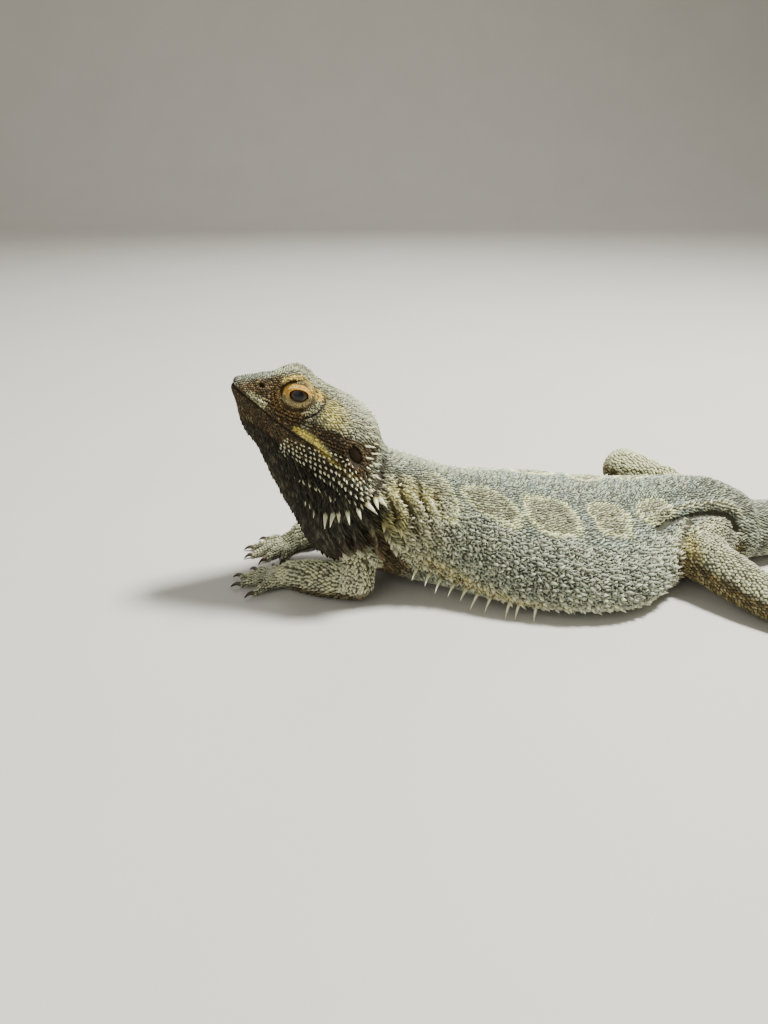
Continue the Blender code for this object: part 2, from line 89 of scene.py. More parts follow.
# Place (forward of, sideways from and above the eyes), size, push in the same axes.
HEAD_BUMPS = {
    "brow": ((0.0088, 0.0078, 0.0056), 0.0076, (0.0010, 0.0014, 0.0070)),
    "forehead": ((0.0140, 0.0000, 0.0000), 0.0050, (0.0, 0.0, -0.0010)),
    "lore": ((0.0105, 0.0092, -0.0040), 0.0042, (0.0, -0.0014, 0.0)),
    "crown": ((-0.0320, 0.0070, 0.0030), 0.0075, (-0.0022, 0.0, 0.0004)),
    "temple": ((-0.0200, 0.0160, 0.0010), 0.0075, (0.0, 0.0018, 0.0006)),
    "jowl": ((-0.0340, 0.0205, -0.0180), 0.0100, (-0.0010, 0.0042, 0.0)),
    "beard": ((-0.0240, 0.0120, -0.0380), 0.0120, (0.0, 0.0030, 0.0)),
}
# Widest point (x, y, z), lean, half width, height above and depth below it, squareness of each half.
TRUNK_SECTIONS = {
    "nape": (-0.0705, -0.0168, 0.0440, 0.63, 0.0212, 0.0165, 0.0310, 2.2, 2.2),
    "neck": (-0.0575, -0.0140, 0.0330, 0.47, 0.0222, 0.0205, 0.0280, 2.1, 2.2),
    "shoulders": (-0.0400, -0.0100, 0.0200, 0.26, 0.0285, 0.0260, 0.0215, 2.0, 2.3),
    "chest": (-0.0205, -0.0066, 0.0110, 0.08, 0.0405, 0.0308, 0.0125, 2.0, 2.5),
    "belly": (0.0050, -0.0032, 0.0090, 0.00, 0.0492, 0.0284, 0.0108, 2.0, 2.6),
    "flank": (0.0290, -0.0005, 0.0088, 0.00, 0.0486, 0.0247, 0.0106, 2.0, 2.6),
    "loin": (0.0530, 0.0032, 0.0115, 0.00, 0.0335, 0.0226, 0.0130, 2.0, 2.4),
    "hips": (0.0780, 0.0065, 0.0130, 0.00, 0.0232, 0.0218, 0.0142, 2.0, 2.2),
    "rump": (0.0925, 0.0085, 0.0122, 0.00, 0.0196, 0.0168, 0.0130, 2.0, 2.1),
    "vent": (0.1060, 0.0105, 0.0108, 0.00, 0.0158, 0.0112, 0.0116, 2.0, 2.1),
}
TAIL_LENGTH = 0.258
TAIL_RADIUS = 0.0122
TAIL_TIP_RADIUS = 0.0011
TAIL_HEADING = math.radians(8)
TAIL_BEND = math.radians(34)
TAIL_SECTIONS = 7
TAIL_BAND = 0.62  # from one pale band of the tail to the next, in its sections

LEGS = {  # centres of the joints and the heading of the middle toe
    "front_left": ((-0.0690, -0.0215, 0.0300), (-0.0730, -0.0340, 0.0078), (-0.1000, -0.0240, 0.0054), 2.88),
    "front_right": ((-0.0570, -0.0010, 0.0310), (-0.0710, 0.0255, 0.0078), (-0.1000, 0.0105, 0.0054), 3.60),
    "rear_left": ((0.0810, 0.0015, 0.0098), (0.0668, -0.0252, 0.0140), (0.0895, -0.0560, 0.0066), -0.90),
    "rear_right": ((0.0800, 0.0130, 0.0150), (0.0535, 0.0450, 0.0245), (0.0745, 0.0780, 0.0066), 0.82),
}
LEG_RADII = {
    "front": ((0.0084, 0.0078, 0.0070, 0.0070), (0.0070, 0.0076, 0.0073, 0.0058)),
    "rear": ((0.0108, 0.0116, 0.0112, 0.0098), (0.0092, 0.0090, 0.0080, 0.0056)),
}
PALM_LENGTH = {"front": 0.0085, "rear": 0.0130}
PALM_SECTIONS = {  # share of the length, half width, half height
    "front": ((-0.45, 0.0040, 0.0036), (0.0, 0.0052, 0.0044), (0.55, 0.0066, 0.0040), (1.0, 0.0062, 0.0028)),
    "rear": ((-0.35, 0.0046, 0.0040), (0.0, 0.0054, 0.0048), (0.55, 0.0066, 0.0042), (1.0, 0.0068, 0.0030)),
}
TOE_LENGTHS = {
    "front": (0.0070, 0.0105, 0.0125, 0.0120, 0.0080),
    "rear": (0.0075, 0.0110, 0.0150, 0.0185, 0.0105),
}
TOE_HEADINGS = {
    "front": (0.80, 0.36, 0.0, -0.34, -0.84),
    "rear": (0.60, 0.28, 0.0, -0.26, -0.86),
}
TOE_ROOT = 0.0030
TOE_RADII = (0.0023, 0.0019, 0.0014)
TOE_ARCH = 0.0010
CLAW_LENGTHS = {"front": 0.0036, "rear": 0.0042}
CLAW_RADII = (0.0010, 0.0007, 0.00015)
CLAW_DROP = 0.0011
CLAW_ROOT = 0.0012  # a claw starts this far inside its toe


def model_shift():
    """How far the solids were moved to centre their box, from where the middle of the eyes now is."""
    middle = np.mean([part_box(f"eye_{side}") for side in ("left", "right")], axis=(0, 1))
    return np.array([*(EYE_CENTRE - middle)[:2], 0.0])


CENTRE = model_shift()

FLESH = [
    "head", "jaw", "beard", "neck", "chest", "trunk", "hips", "tail_base", "tail_middle", "tail_end",
    "upper_arm_left", "upper_arm_right", "forearm_left", "forearm_right", "hand_left", "hand_right",
    "thigh_left", "thigh_right", "shin_left", "shin_right", "foot_left", "foot_right",
]  # fmt: skip


# --- curves ---
def smooth(values, t):
    """Hermite curve through rows of values at 0, 1, 2 and so on: a cubic between each two of them,
    whose slope at a row is half the difference of its neighbours."""
    values = np.asarray(values, float)
    t = np.atleast_1d(np.asarray(t, float))
    slopes = np.gradient(values, axis=0)
    i = np.clip(t.astype(int), 0, len(values) - 2)
    u = (t - i)[:, None]
    return (
        values[i] * (2 * u**3 - 3 * u**2 + 1)
        + slopes[i] * (u**3 - 2 * u**2 + u)
        + values[i + 1] * (3 * u**2 - 2 * u**3)
        + slopes[i + 1] * (u**3 - u**2)
    )


def unit(vectors):
    """The vectors, each divided by its length."""
    vectors = np.asarray(vectors, float)
    return vectors / np.maximum(np.linalg.norm(vectors, axis=-1, keepdims=True), 1e-12)


def soft_step(x, low, high):
    """0 below low, 1 above high and 3u²-2u³ between them."""
    u = np.clip((np.asarray(x, float) - low) / (high - low), 0.0, 1.0)
    return u * u * (3 - 2 * u)


def bell(x, middle, width):
    """exp(-((x - middle) / width)²)."""
    return np.exp(-(((np.asarray(x, float) - middle) / width) ** 2))


def plateau(x, rise, full, fall, end):
    """Rises smoothly from 0 to 1 between rise and full, and falls to 0 again between fall and end."""
    return soft_step(x, rise, full) * (1 - soft_step(x, fall, end))


def level_way(heading):
    """Unit vector on the level, turned this much from the x axis."""
    return np.array([math.cos(heading), math.sin(heading), 0.0])


# --- head axes ---
def head_axes():
    """Unit vectors forward, to the animal's left and up in the raised and turned head."""
    level = np.array([-math.cos(HEAD_YAW), -math.sin(HEAD_YAW), 0.0])
    left = np.array([math.sin(HEAD_YAW), -math.cos(HEAD_YAW), 0.0])
    forward = level * math.cos(HEAD_PITCH) + UP * math.sin(HEAD_PITCH)
    return forward, left, np.cross(forward, left)


def head_point(forward, side, above):
    """A point forward of, to the left of and above the middle of the eyes."""
    ahead, left, up = head_axes()
    return EYE_CENTRE + forward * ahead + side * left + above * up


def in_head(points):
    """The same three distances for an array of points: forward, left and above."""
    away = points - EYE_CENTRE
    return tuple(away @ axis for axis in head_axes())


# --- the body's tube ---
def tail_rows():
    """Sections of the tail: its radius falls with the length left, to the power 1.1, and its heading
    swings by a sine."""
    share = np.arange(1, TAIL_SECTIONS + 1) / TAIL_SECTIONS
    fine = np.linspace(0, 1, 129)
    heading = TAIL_HEADING + TAIL_BEND * (np.sin(fine * math.pi * 1.3) - 0.35 * fine)
    step = TAIL_LENGTH / 128
    start = TRUNK_SECTIONS["vent"]
    x = np.interp(share, fine, start[0] + np.cumsum(np.cos(heading)) * step)
    y = np.interp(share, fine, start[1] + np.cumsum(np.sin(heading)) * step)
    radius = TAIL_TIP_RADIUS + (TAIL_RADIUS - TAIL_TIP_RADIUS) * (1 - share) ** 1.1
    return [(*row, r * 0.95, 0.0, r * 1.03, r, r, 2.0, 2.1) for *row, r in zip(x, y, radius)]


def body_rows():
    """All sections of the body from the snout to the tip of the tail, each as the trunk's are given."""
    rows = [
        (*head_point(forward, 0.0, -MOUTH_DROP), HEAD_PITCH, *outline)
        for forward, *outline in HEAD_SECTIONS.values()
    ]
    return np.array(rows + list(TRUNK_SECTIONS.values()) + tail_rows())


BODY_ROWS = body_rows()
TAIL_TIP = len(BODY_ROWS) - 1


def section_axes(rows):
    """For each section: unit vectors along the body, to the animal's left and up in the section."""
    heading = unit(np.gradient(rows[:, :2], axis=0))
    lean = rows[:, 3][:, None]
    level = np.column_stack([heading, np.zeros(len(rows))])
    left = np.column_stack([heading[:, 1], -heading[:, 0], np.zeros(len(rows))])
    along = level * np.cos(lean) - UP * np.sin(lean)
    up = level * np.sin(lean) + UP * np.cos(lean)
    return along, left, up


def half_ellipses(angle, width, up, down, square_up, square_down):
    """Superellipse |x/width|^n + |y/height|^n = 1, with its own height and n above and below."""
    c, s = np.cos(angle), np.sin(angle)
    square = np.where(s >= 0, square_up, square_down)
    across = np.sign(c) * np.abs(c) ** (2 / square) * width
    height = np.sign(s) * np.abs(s) ** (2 / square) * np.where(s >= 0, up, down)
    return across, height


def add_bumps(points):
    """Moves points of the head by each bump's push times exp(-(distance / size)²), on both sides."""
    axes = np.array(head_axes())
    place = np.stack(in_head(points), axis=-1)
    moved = points.copy()
    for where, size, push in HEAD_BUMPS.values():
        for side in (1.0, -1.0) if where[1] else (1.0,):
            flip = np.array((1.0, side, 1.0))
            weight = np.exp(-np.sum((place - np.array(where) * flip) ** 2, axis=-1) / size**2)
            moved += weight[..., None] * ((np.array(push) * flip) @ axes)
    return moved


def body_rings(t, sides, inset=0.0):
    """Rings round the body at the places t: each is a section's superellipse less the inset."""
    rows = smooth(BODY_ROWS, t)
    fine = np.linspace(0, TAIL_TIP, 500)
    _, left, up = (
        unit(np.stack([np.interp(t, fine, axis[:, k]) for k in range(3)], 1))
        for axis in section_axes(smooth(BODY_ROWS, fine))
    )
    angles = np.arange(sides) * 2 * math.pi / sides
    sizes = np.maximum(rows[:, 4:7] - inset, 0.0004)
    across, height = half_ellipses(
        angles[None, :], *(sizes[:, k][:, None] for k in range(3)), rows[:, 7:8], rows[:, 8:9]
    )
    rings = rows[:, None, :3] + across[..., None] * left[:, None] + height[..., None] * up[:, None]
    return add_bumps(rings)


# --- the tubes of the legs ---
def round_rings(path, along, widths, heights, sides):
    """Ellipses carried along a path, square to the given directions, each with its height upward."""
    left = unit(np.cross(along, UP))
    up = np.cross(left, along)
    angles = np.arange(sides) * 2 * math.pi / sides
    across = np.cos(angles)[None, :, None] * left[:, None] * widths[:, None, None]
    height = np.sin(angles)[None, :, None] * up[:, None] * heights[:, None, None]
    return path[:, None] + across + height


def limb_rings(start, end, radii, t, sides, inset=0.0):
    """A length of a leg, t from 0 to 1: circles whose radius is a smooth curve through the list, and a
    half ellipse of it, sqrt(r² - d²), past each end."""
    start, end = np.array(start), np.array(end)
    length = np.linalg.norm(end - start)
    first, last = radii[0], radii[-1]
    d = -first + t * (length + first + last)
    inner = np.clip(d / length, 0, 1)
    radius = smooth(np.array(radii)[:, None], inner * (len(radii) - 1))[:, 0]
    beyond = np.maximum(-d / first, (d - length) / last).clip(0, 1)
    radius = np.maximum(radius * np.sqrt(1 - beyond**2) - inset, 0.0002)
    way = (end - start) / length
    path = start + d[:, None] * way
    return round_rings(path, np.broadcast_to(way, path.shape), radius, radius, sides)


def palm_rings(kind, ankle, heading, t, sides, inset=0.0):
    """The palm or sole, t from 0 to 1: flat ellipses between its four sections, lying on the floor."""
    share, widths, heights = np.array(PALM_SECTIONS[kind]).T
    place = -0.9 + t * 2.2
    width = np.interp(place, share, widths)
    height = np.interp(place, share, heights)
    beyond = np.maximum((share[0] - place) / (share[0] + 0.9), (place - 1.0) / 0.3).clip(0, 1)
    close = np.sqrt(1 - beyond**2)
    path = ankle + place[:, None] * PALM_LENGTH[kind] * level_way(heading)
    path[:, 2] = height * 0.92
    path[:, 2] += np.maximum(ankle[2] - path[:, 2], 0) * soft_step(-place, -0.3, 0.4)
    width, height = (np.maximum(size * close - inset, 0.0002) for size in (width, height))
    return round_rings(path, np.broadcast_to(level_way(heading), path.shape), width, height, sides)


def toe_base(leg, number):
    """Where a toe starts, its heading and its whole length, from inside the palm or sole."""
    kind, side = leg.split("_")
    *_, ankle, heading = LEGS[leg]
    thumb = 1 if (kind == "rear") == (side == "left") else -1
    turn = TOE_HEADINGS[kind][number]
    across = np.array([-math.sin(heading), math.cos(heading), 0.0]) * thumb
    base = np.array(ankle) + level_way(heading) * PALM_LENGTH[kind] * (0.86 - 0.32 * abs(turn))
    base += across * PALM_SECTIONS[kind][2][1] * 0.78 * math.sin(turn)
    base[2] = 0.0
    return base, heading + thumb * turn, TOE_LENGTHS[kind][number] + TOE_ROOT


def toe_rings(leg, number, t, sides, inset=0.0):
    """A toe, t from 0 to 1: circles that narrow towards the claw, on a path that arches by a sine."""
    start, heading, length = toe_base(leg, number)
    radius = np.interp(t, (0.0, 0.55, 1.0), TOE_RADII)
    knuckles = 1.0 + 0.07 * np.cos(t * length / 0.0036 * 2 * math.pi)
    close = np.sqrt(1 - ((t - 0.93) / 0.07).clip(0, 0.98) ** 2)
    path = start + t[:, None] * length * level_way(heading)
    path[:, 2] = np.interp(t, (0, 0.5, 1), (TOE_RADII[0] * 1.15, TOE_RADII[1], TOE_RADII[2] * 0.86))
    path[:, 2] += TOE_ARCH * np.sin(math.pi * t)
    size = np.maximum(radius * knuckles * close - inset, 0.0002)
    way = np.broadcast_to(level_way(heading), path.shape)
    return round_rings(path, way, size * 1.05, size * 0.95, sides)


def leg_tubes():
    """For each tube of the legs, its name, and its function of (t, sides, inset)."""
    tubes = {}
    for leg, (root, bend, end, heading) in LEGS.items():
        kind = leg.split("_")[0]
        upper, lower = LEG_RADII[kind]
        tubes[f"upper_{leg}"] = partial(limb_rings, root, bend, upper)
        tubes[f"lower_{leg}"] = partial(limb_rings, bend, end, lower)
        tubes[f"palm_{leg}"] = partial(palm_rings, kind, np.array(end), heading)
        for number in range(5):
            tubes[f"toe_{leg}_{number}"] = partial(toe_rings, leg, number)
    return tubes


# --- meshes ---
def new_mesh(name, points, faces):
    """A mesh from an array of points and an array of faces that all have as many corners."""
    mesh = bpy.data.meshes.new(name)
    corners = faces.shape[1]
    mesh.vertices.add(len(points))
    mesh.vertices.foreach_set("co", np.ascontiguousarray(points, np.float32).ravel())
    mesh.loops.add(faces.size)
    mesh.loops.foreach_set("vertex_index", faces.astype(np.int32).ravel())
    mesh.polygons.add(len(faces))
    mesh.polygons.foreach_set("loop_start", np.arange(0, faces.size, corners, dtype=np.int32))
    mesh.update(calc_edges=True)
    return mesh


def smooth_mesh(name, points, faces):
    """A mesh of closed shells, each turned right side out and shaded smooth."""
    mesh = new_mesh(name, centred(points), faces)
    shape = bmesh.new()
    shape.from_mesh(mesh)
    bmesh.ops.recalc_face_normals(shape, faces=shape.faces)
    shape.to_mesh(mesh)
    shape.free()
    mesh.shade_smooth()
    return mesh


def new_piece(name, mesh, material=None):
    """An object for a mesh. With a material it is a finished piece, which rides on the animal."""
    piece = bpy.data.objects.new(name, mesh)
    bpy.context.scene.collection.objects.link(piece)
    if material:
        mesh.materials.append(material)
        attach(piece, "root")
    return piece


def points_of(mesh):
    values = np.empty(len(mesh.vertices) * 3, np.float32)
    mesh.vertices.foreach_get("co", values)
    return values.reshape(-1, 3).astype(float)


def normals_of(mesh):
    values = np.empty(len(mesh.vertices) * 3, np.float32)
    mesh.vertex_normals.foreach_get("vector", values)
    return values.reshape(-1, 3).astype(float)


def set_points(mesh, points):
    mesh.vertices.foreach_set("co", np.ascontiguousarray(points, np.float32).ravel())
    mesh.update()


def store(mesh, name, values):
    """A number for each point of the mesh, as a named attribute that the materials read."""
    layer = mesh.attributes.new(name, "FLOAT", "POINT")
    layer.data.foreach_set("value", np.ascontiguousarray(values, np.float32))


def tube_arrays(rings):
    """Points and triangles of tubes, from an array (tube, ring, side, xyz); a point at the middle of the
    first ring and one at the middle of the last close each tube."""
    rings = rings if rings.ndim == 4 else rings[None]
    count, length, sides = rings.shape[:3]
    poles = rings[:, [0, -1]].mean(axis=2)
    points = np.concatenate([rings.reshape(count, -1, 3), poles], axis=1)
    k = np.arange(sides)
    after = (k + 1) % sides
    step = np.arange(length - 1)[:, None] * sides
    a, b, c, d = step + k, step + after, step + sides + after, step + sides + k
    last = (length - 1) * sides
    start = np.stack([np.full(sides, length * sides), after, k], axis=-1)
    end = np.stack([np.full(sides, length * sides + 1), last + k, last + after], axis=-1)
    walls = [np.stack(corners, axis=-1).reshape(-1, 3) for corners in ((a, b, c), (a, c, d))]
    faces = np.concatenate([*walls, start, end])
    faces = faces[None] + (np.arange(count) * points.shape[1])[:, None, None]
    return points.reshape(-1, 3), faces.reshape(-1, 3)


def merged(parts):
    """One pair of arrays from a list of (points, faces)."""
    sizes = np.cumsum([0] + [len(points) for points, _ in parts])
    points = np.concatenate([points for points, _ in parts])
    return points, np.concatenate([faces + size for (_, faces), size in zip(parts, sizes)])


def along_tube(values, sides):
    """One value for each point of a tube from its rings' values, with those of the two poles."""
    return np.concatenate([np.repeat(values, sides), [values[0], values[-1]]])


def evaluated_mesh(obj, name):
    """A new mesh of the object with its modifiers applied; the object is removed."""
    graph = bpy.context.evaluated_depsgraph_get()
    mesh = bpy.data.meshes.new_from_object(obj.evaluated_get(graph))
    mesh.name = name
    old = obj.data
    bpy.data.objects.remove(obj)
    bpy.data.meshes.remove(old)
    return mesh


def relax(points, edges, amount, rounds, weight=1.0):
    """Moves each point towards the mean of its neighbours by amount, and for an even number of
    rounds back again by a little more, which smooths a shape without shrinking it."""
    count = np.bincount(edges.ravel(), minlength=len(points))[:, None]
    for step in range(rounds):
        total = np.zeros_like(points)
        for k in range(3):
            total[:, k] = np.bincount(edges[:, 0], points[edges[:, 1], k], len(points))
            total[:, k] += np.bincount(edges[:, 1], points[edges[:, 0], k], len(points))
        share = amount if step % 2 == 0 or amount == 1.0 else -amount * 1.06
        points = points + share * weight * (total / np.maximum(count, 1) - points)
    return points


def edges_of(mesh):
    edges = np.empty(len(mesh.edges) * 2, np.int32)
    mesh.edges.foreach_get("vertices", edges)
    return edges.reshape(-1, 2)


# --- skin ---
BLENDS = {  # where tubes run into each other: place, how far the skin is drawn smooth, in rounds
    "shoulder_left": ((-0.0680, -0.0280, 0.0270), 0.0085, 30),
    "shoulder_right": ((-0.0620, 0.0060, 0.0270), 0.0085, 30),
    "hip_left": ((0.0760, -0.0130, 0.0170), 0.0110, 36),
    "hip_right": ((0.0700, 0.0270, 0.0200), 0.0110, 36),
}
LID_TILT = math.radians(30)  # the front corner of the eye is this much lower than the mouth line's way
LID_OPENING = (0.0036, 0.0024)  # half the length and height of the opening between the lids
OPENING_PLACE = (0.0008, 0.0004)  # its middle is in front of and above the eye's
LID_REACH = 0.0041  # half the height of both lids together
LID_STRETCH = 1.30  # and their length is this many times as much
LID_SHIFT = 0.0012  # the lids' middle is in front of the eye's
LID_THICK = 0.0007
NOSTRIL = (0.0135, -0.0056)  # forward of and above the eyes
FLOOR_GAP = 0.0004  # the skin stays this much above the floor

# The crease where each thigh goes under the hip, from its front end over the thigh to its rear end.
HIP_CREASE = np.array(
    [
        (0.0473, -0.0248, 0.0276),
        (0.0538, -0.0199, 0.0284),
        (0.0628, -0.0158, 0.0287),
        (0.0720, -0.0130, 0.0285),
        (0.0802, -0.0112, 0.0270),
        (0.0832, -0.0119, 0.0243),
        (0.0847, -0.0133, 0.0205),
    ]
)
# The crease between the flank and the front edge of the thigh, from its top end down.
THIGH_CREASE = np.array(
    [
        (0.0622, -0.0186, 0.0270),
        (0.0592, -0.0222, 0.0250),
        (0.0575, -0.0246, 0.0235),
        (0.0547, -0.0292, 0.0205),
        (0.0540, -0.0324, 0.0158),
        (0.0550, -0.0320, 0.0110),
    ]
)


def union_of_tubes(coat_depth, voxel):
    """All the tubes in one mesh, made one closed surface on a fine grid of cubes."""
    body = body_rings(np.linspace(0, TAIL_TIP, 360), 128, coat_depth)
    parts = [tube_arrays(body)]
    for name, tube in leg_tubes().items():
        inset = coat_depth * (0.35 if name.startswith("toe") else 0.7)
        parts.append(tube_arrays(tube(np.linspace(0.004, 0.996, 60), 40, inset)))
    obj = new_piece("tubes", new_mesh("tubes", *merged(parts)))
    remesh = obj.modifiers.new("remesh", "REMESH")
    remesh.mode = "VOXEL"
    remesh.voxel_size = voxel
    return evaluated_mesh(obj, "skin")


def refine(mesh, reaches):
    """Halves the edges of all faces in each given sphere, (place, radius), in turn."""
    for place, radius in reaches:
        shape = bmesh.new()
        shape.from_mesh(mesh)
        near = np.linalg.norm(points_of(mesh) - place, axis=1) < radius
        shape.verts.ensure_lookup_table()
        edges = [e for e in shape.edges if near[e.verts[0].index] and near[e.verts[1].index]]
        bmesh.ops.subdivide_edges(shape, edges=edges, cuts=1, use_grid_fill=True)
        bmesh.ops.triangulate(shape, faces=[f for f in shape.faces if len(f.verts) > 4])
        shape.to_mesh(mesh)
        shape.free()


def lid_axes():
    """Unit vectors along the lids, forward, and up across them."""
    ahead, _, up = head_axes()
    c, s = math.cos(LID_TILT), math.sin(LID_TILT)
    return ahead * c - up * s, ahead * s + up * c


def eye_place(points):
    """Distances from the nearer eye's centre along the lids, up across them and outward, and which
    side that eye is on."""
    away = points - EYE_CENTRE
    side = away @ head_axes()[1]
    along, up = lid_axes()
    sign = np.where(side >= 0, 1.0, -1.0)
    return away @ along, away @ up, side * sign - EYE_SPREAD, sign


def eye_reach(along, high):
    """Distance from the middle of the lids, whose outline is an ellipse."""
    return np.hypot((along - LID_SHIFT) / LID_STRETCH, high)


def lid_opening(along, high):
    """1 on the edge of the opening between the lids, less inside it."""
    from_middle = (along - OPENING_PLACE[0], high - OPENING_PLACE[1])
    return np.hypot(from_middle[0] / LID_OPENING[0], from_middle[1] / LID_OPENING[1])


def dome(radius, distance):
    """Height of a sphere over its middle plane, at a distance from its axis: sqrt(r² - d²)."""
    return np.sqrt(np.maximum(radius**2 - distance**2, 0.0))


def lid_folds(along, high):
    """How far the folds beyond the lids stand out: a crease and a ridge round them, and under the eye
    rings that are a cosine, with a second crease behind them."""
    reach = eye_reach(along, high)
    upper = soft_step(high, -0.0015, 0.0020)
    rings = plateau(reach, LID_REACH + 0.0008, LID_REACH + 0.0016, 0.0080, 0.0100) * (1 - upper)
    folds = bell(reach, LID_REACH + 0.0017, 0.0009) * (0.0003 + 0.0004 * upper)
    folds -= bell(reach, LID_REACH + 0.0004, 0.0006) * (0.0003 + 0.0008 * upper)
    folds += 0.00022 * rings * np.cos((reach - 0.0058) / 0.0013 * 2 * math.pi)
    rear = bell(reach, LID_REACH + 0.0033, 0.0007) * (1 - upper) * soft_step(-along, -0.001, 0.003)
    return folds - 0.00050 * rear


def shape_eyelids(points):
    """Round each eye: between the opening and the lids' reach the skin is drawn onto a sphere that is
    a lid's thickness larger than the eyeball, with folds round it, and inside the opening it is sunk
    behind the eyeball."""
    _, left, _ = head_axes()
    along, high, out, sign = eye_place(points)
    reach, opening = eye_reach(along, high), lid_opening(along, high)
    radius = np.hypot(along, high)
    near = (out > -0.006) & (radius < 0.0125)
    lid = 1 - soft_step(reach, LID_REACH - 0.0008, LID_REACH + 0.0008)
    wrinkles = 0.00016 * np.cos((reach - 0.0031) / 0.0009 * 2 * math.pi)
    rim = 0.00045 * bell(opening, 1.10, 0.13)
    over_lid = np.maximum(dome(EYE_RADIUS + LID_THICK, radius), out * 0.9) + wrinkles + rim
    goal = out * (1 - lid) + over_lid * lid + lid_folds(along, high)
    over_ball = np.maximum(goal, dome(EYE_RADIUS + 0.0004, radius))
    goal = np.where(radius < EYE_RADIUS + 0.0003, over_ball, goal)
    hollow = 1 - soft_step(opening, 0.86, 1.0)
    goal = goal * (1 - hollow) + np.minimum(goal, dome(EYE_RADIUS - 0.0006, radius)) * hollow
    return points + np.where(near, (goal - out) * sign, 0.0)[:, None] * left


def mouth_height(forward, above):
    """Height above the mouth line, which sags a little in its middle."""
    return above + MOUTH_DROP + 0.0010 * bell(forward, -0.001, 0.013)


def face_relief(points):
    """How far the skin of the face stands out, in metres: lips, mouth groove, nostrils, brow edge and
    cheek, each a bell or a step of the distance from its line or place."""
    forward, side, above = in_head(points)
    wide = np.abs(side)
    mouth = mouth_height(forward, above)
    lips = soft_step(forward, MOUTH_CORNER - 0.002, MOUTH_CORNER + 0.003)
    front = soft_step(forward, -0.004, 0.012)
    relief = lips * (0.0005 * bell(mouth, 0.0016, 0.0011) + 0.0004 * bell(mouth, -0.0017, 0.0011))
    relief -= lips * 0.0006 * bell(mouth, 0.0, 0.00042)
    nostril = np.hypot((forward - NOSTRIL[0]) / 0.0011, (above - NOSTRIL[1]) / 0.0008)
    side_wall = soft_step(wide, 0.0030, 0.0048)
    relief += side_wall * (0.0005 * bell(nostril, 1.75, 0.75) - 0.0013 * (1 - soft_step(nostril, 0.5, 1.2)))
    canthus = above - (0.0030 - 0.30 * (forward - 0.006))
    relief += 0.0005 * front * side_wall * bell(canthus, 0.0, 0.0014)
    cheek = soft_step(-above, 0.0060, 0.0080) * soft_step(wide, 0.008, 0.010) * soft_step(mouth, 0.0, 0.002)
    relief += 0.00022 * cheek * np.sin((above + 0.25 * forward) / 0.0013 * 2 * math.pi)
    fold = bell(forward, -0.0045, 0.0009) * soft_step(wide, 0.008, 0.010) * bell(above, -0.0065, 0.0035)
    return relief - 0.0005 * fold


def from_crease(points, crease):
    """Distance from the nearer of a crease and its copy on the right side, and the way from it."""
    middle = np.interp(points[:, 0], BODY_ROWS[6:17, 0], BODY_ROWS[6:17, 1])
    folded = points.copy()
    folded[:, 1] = middle - np.abs(points[:, 1] - middle)
    found, way_out = np.full(len(points), np.inf), np.zeros((len(points), 3))
    for start, end in zip(crease[:-1], crease[1:]):
        way = end - start
        share = np.clip((folded - start) @ way / (way @ way), 0, 1)
        away = folded - start - share[:, None] * way
        distance = np.linalg.norm(away, axis=1)
        way_out = np.where((distance < found)[:, None], away, way_out)
        found = np.minimum(found, distance)
    return found, way_out


def nape_crease(points):
    """1 in the crease between the head and the neck, on the sides."""
    _, _, _, angle = on_body(points)
    forward, _, above = in_head(points)
    sides = soft_step(angle, -10, 8) * soft_step(66 - angle, 0, 16)
    return bell(forward + 0.0400 - 0.10 * (above + 0.010), 0.0, 0.0017) * sides


def shoulder_folds(points):
    """A wave between -1 and 1 across the folds of loose skin in front of the shoulder."""
    across = points[:, 0] + 0.35 * points[:, 2] + 0.0016 * ripple(points, 0.016)
    return np.sin(across / 0.0062 * 2 * math.pi)


def neck_relief(points):
    """How far the skin stands out at the folds of loose skin in front of the shoulder, in the crease
    behind the head, and at the creases over and in front of the thighs, with a roll of skin by each."""
    station, _, _, angle = on_body(points)
    where = bell(station, 7.75, 0.65) * soft_step(angle, -55, -35) * soft_step(58 - angle, 0, 18)
    folds = 0.0010 * where * (shoulder_folds(points) - 0.2)
    crease, away = from_crease(points, HIP_CREASE)
    roll = 0.0012 * bell(crease, 0.0042, 0.0020) * soft_step(away[:, 2], 0.0, 0.002)
    hip = roll - 0.0022 * bell(crease, 0.0, 0.0018)
    crease, away = from_crease(points, THIGH_CREASE)
    roll = 0.0007 * bell(crease, 0.0030, 0.0014) * soft_step(-away[:, 0], 0.0, 0.001)
    thigh = roll - 0.0016 * bell(crease, 0.0, 0.0013)
    return folds + hip + thigh - 0.0012 * nape_crease(points)


def ear_distance(points):
    """1 on the rim of the ear opening and 0 at its middle: an ellipse in the plane of the cheek."""
    forward, side, above = in_head(points)
    f, a = forward - EAR_PLACE[0], above - EAR_PLACE[1]
    along = a * math.cos(EAR_LEAN) - f * math.sin(EAR_LEAN)
    across = f * math.cos(EAR_LEAN) + a * math.sin(EAR_LEAN)
    ring = np.hypot(across / EAR_RADII[0], along / EAR_RADII[1])
    return np.where(np.abs(side) > 0.012, ring, np.inf)


def shape_ears(points):
    """Sinks the skin inside the ear opening, and raises a rim in front of and behind it."""
    _, left, _ = head_axes()
    _, side, _ = in_head(points)
    ring = ear_distance(points)
    push = 0.0006 * bell(ring, 1.3, 0.25) - 0.0020 * (1 - soft_step(ring, 0.72, 1.02))
    return points + (push * np.sign(side))[:, None] * left


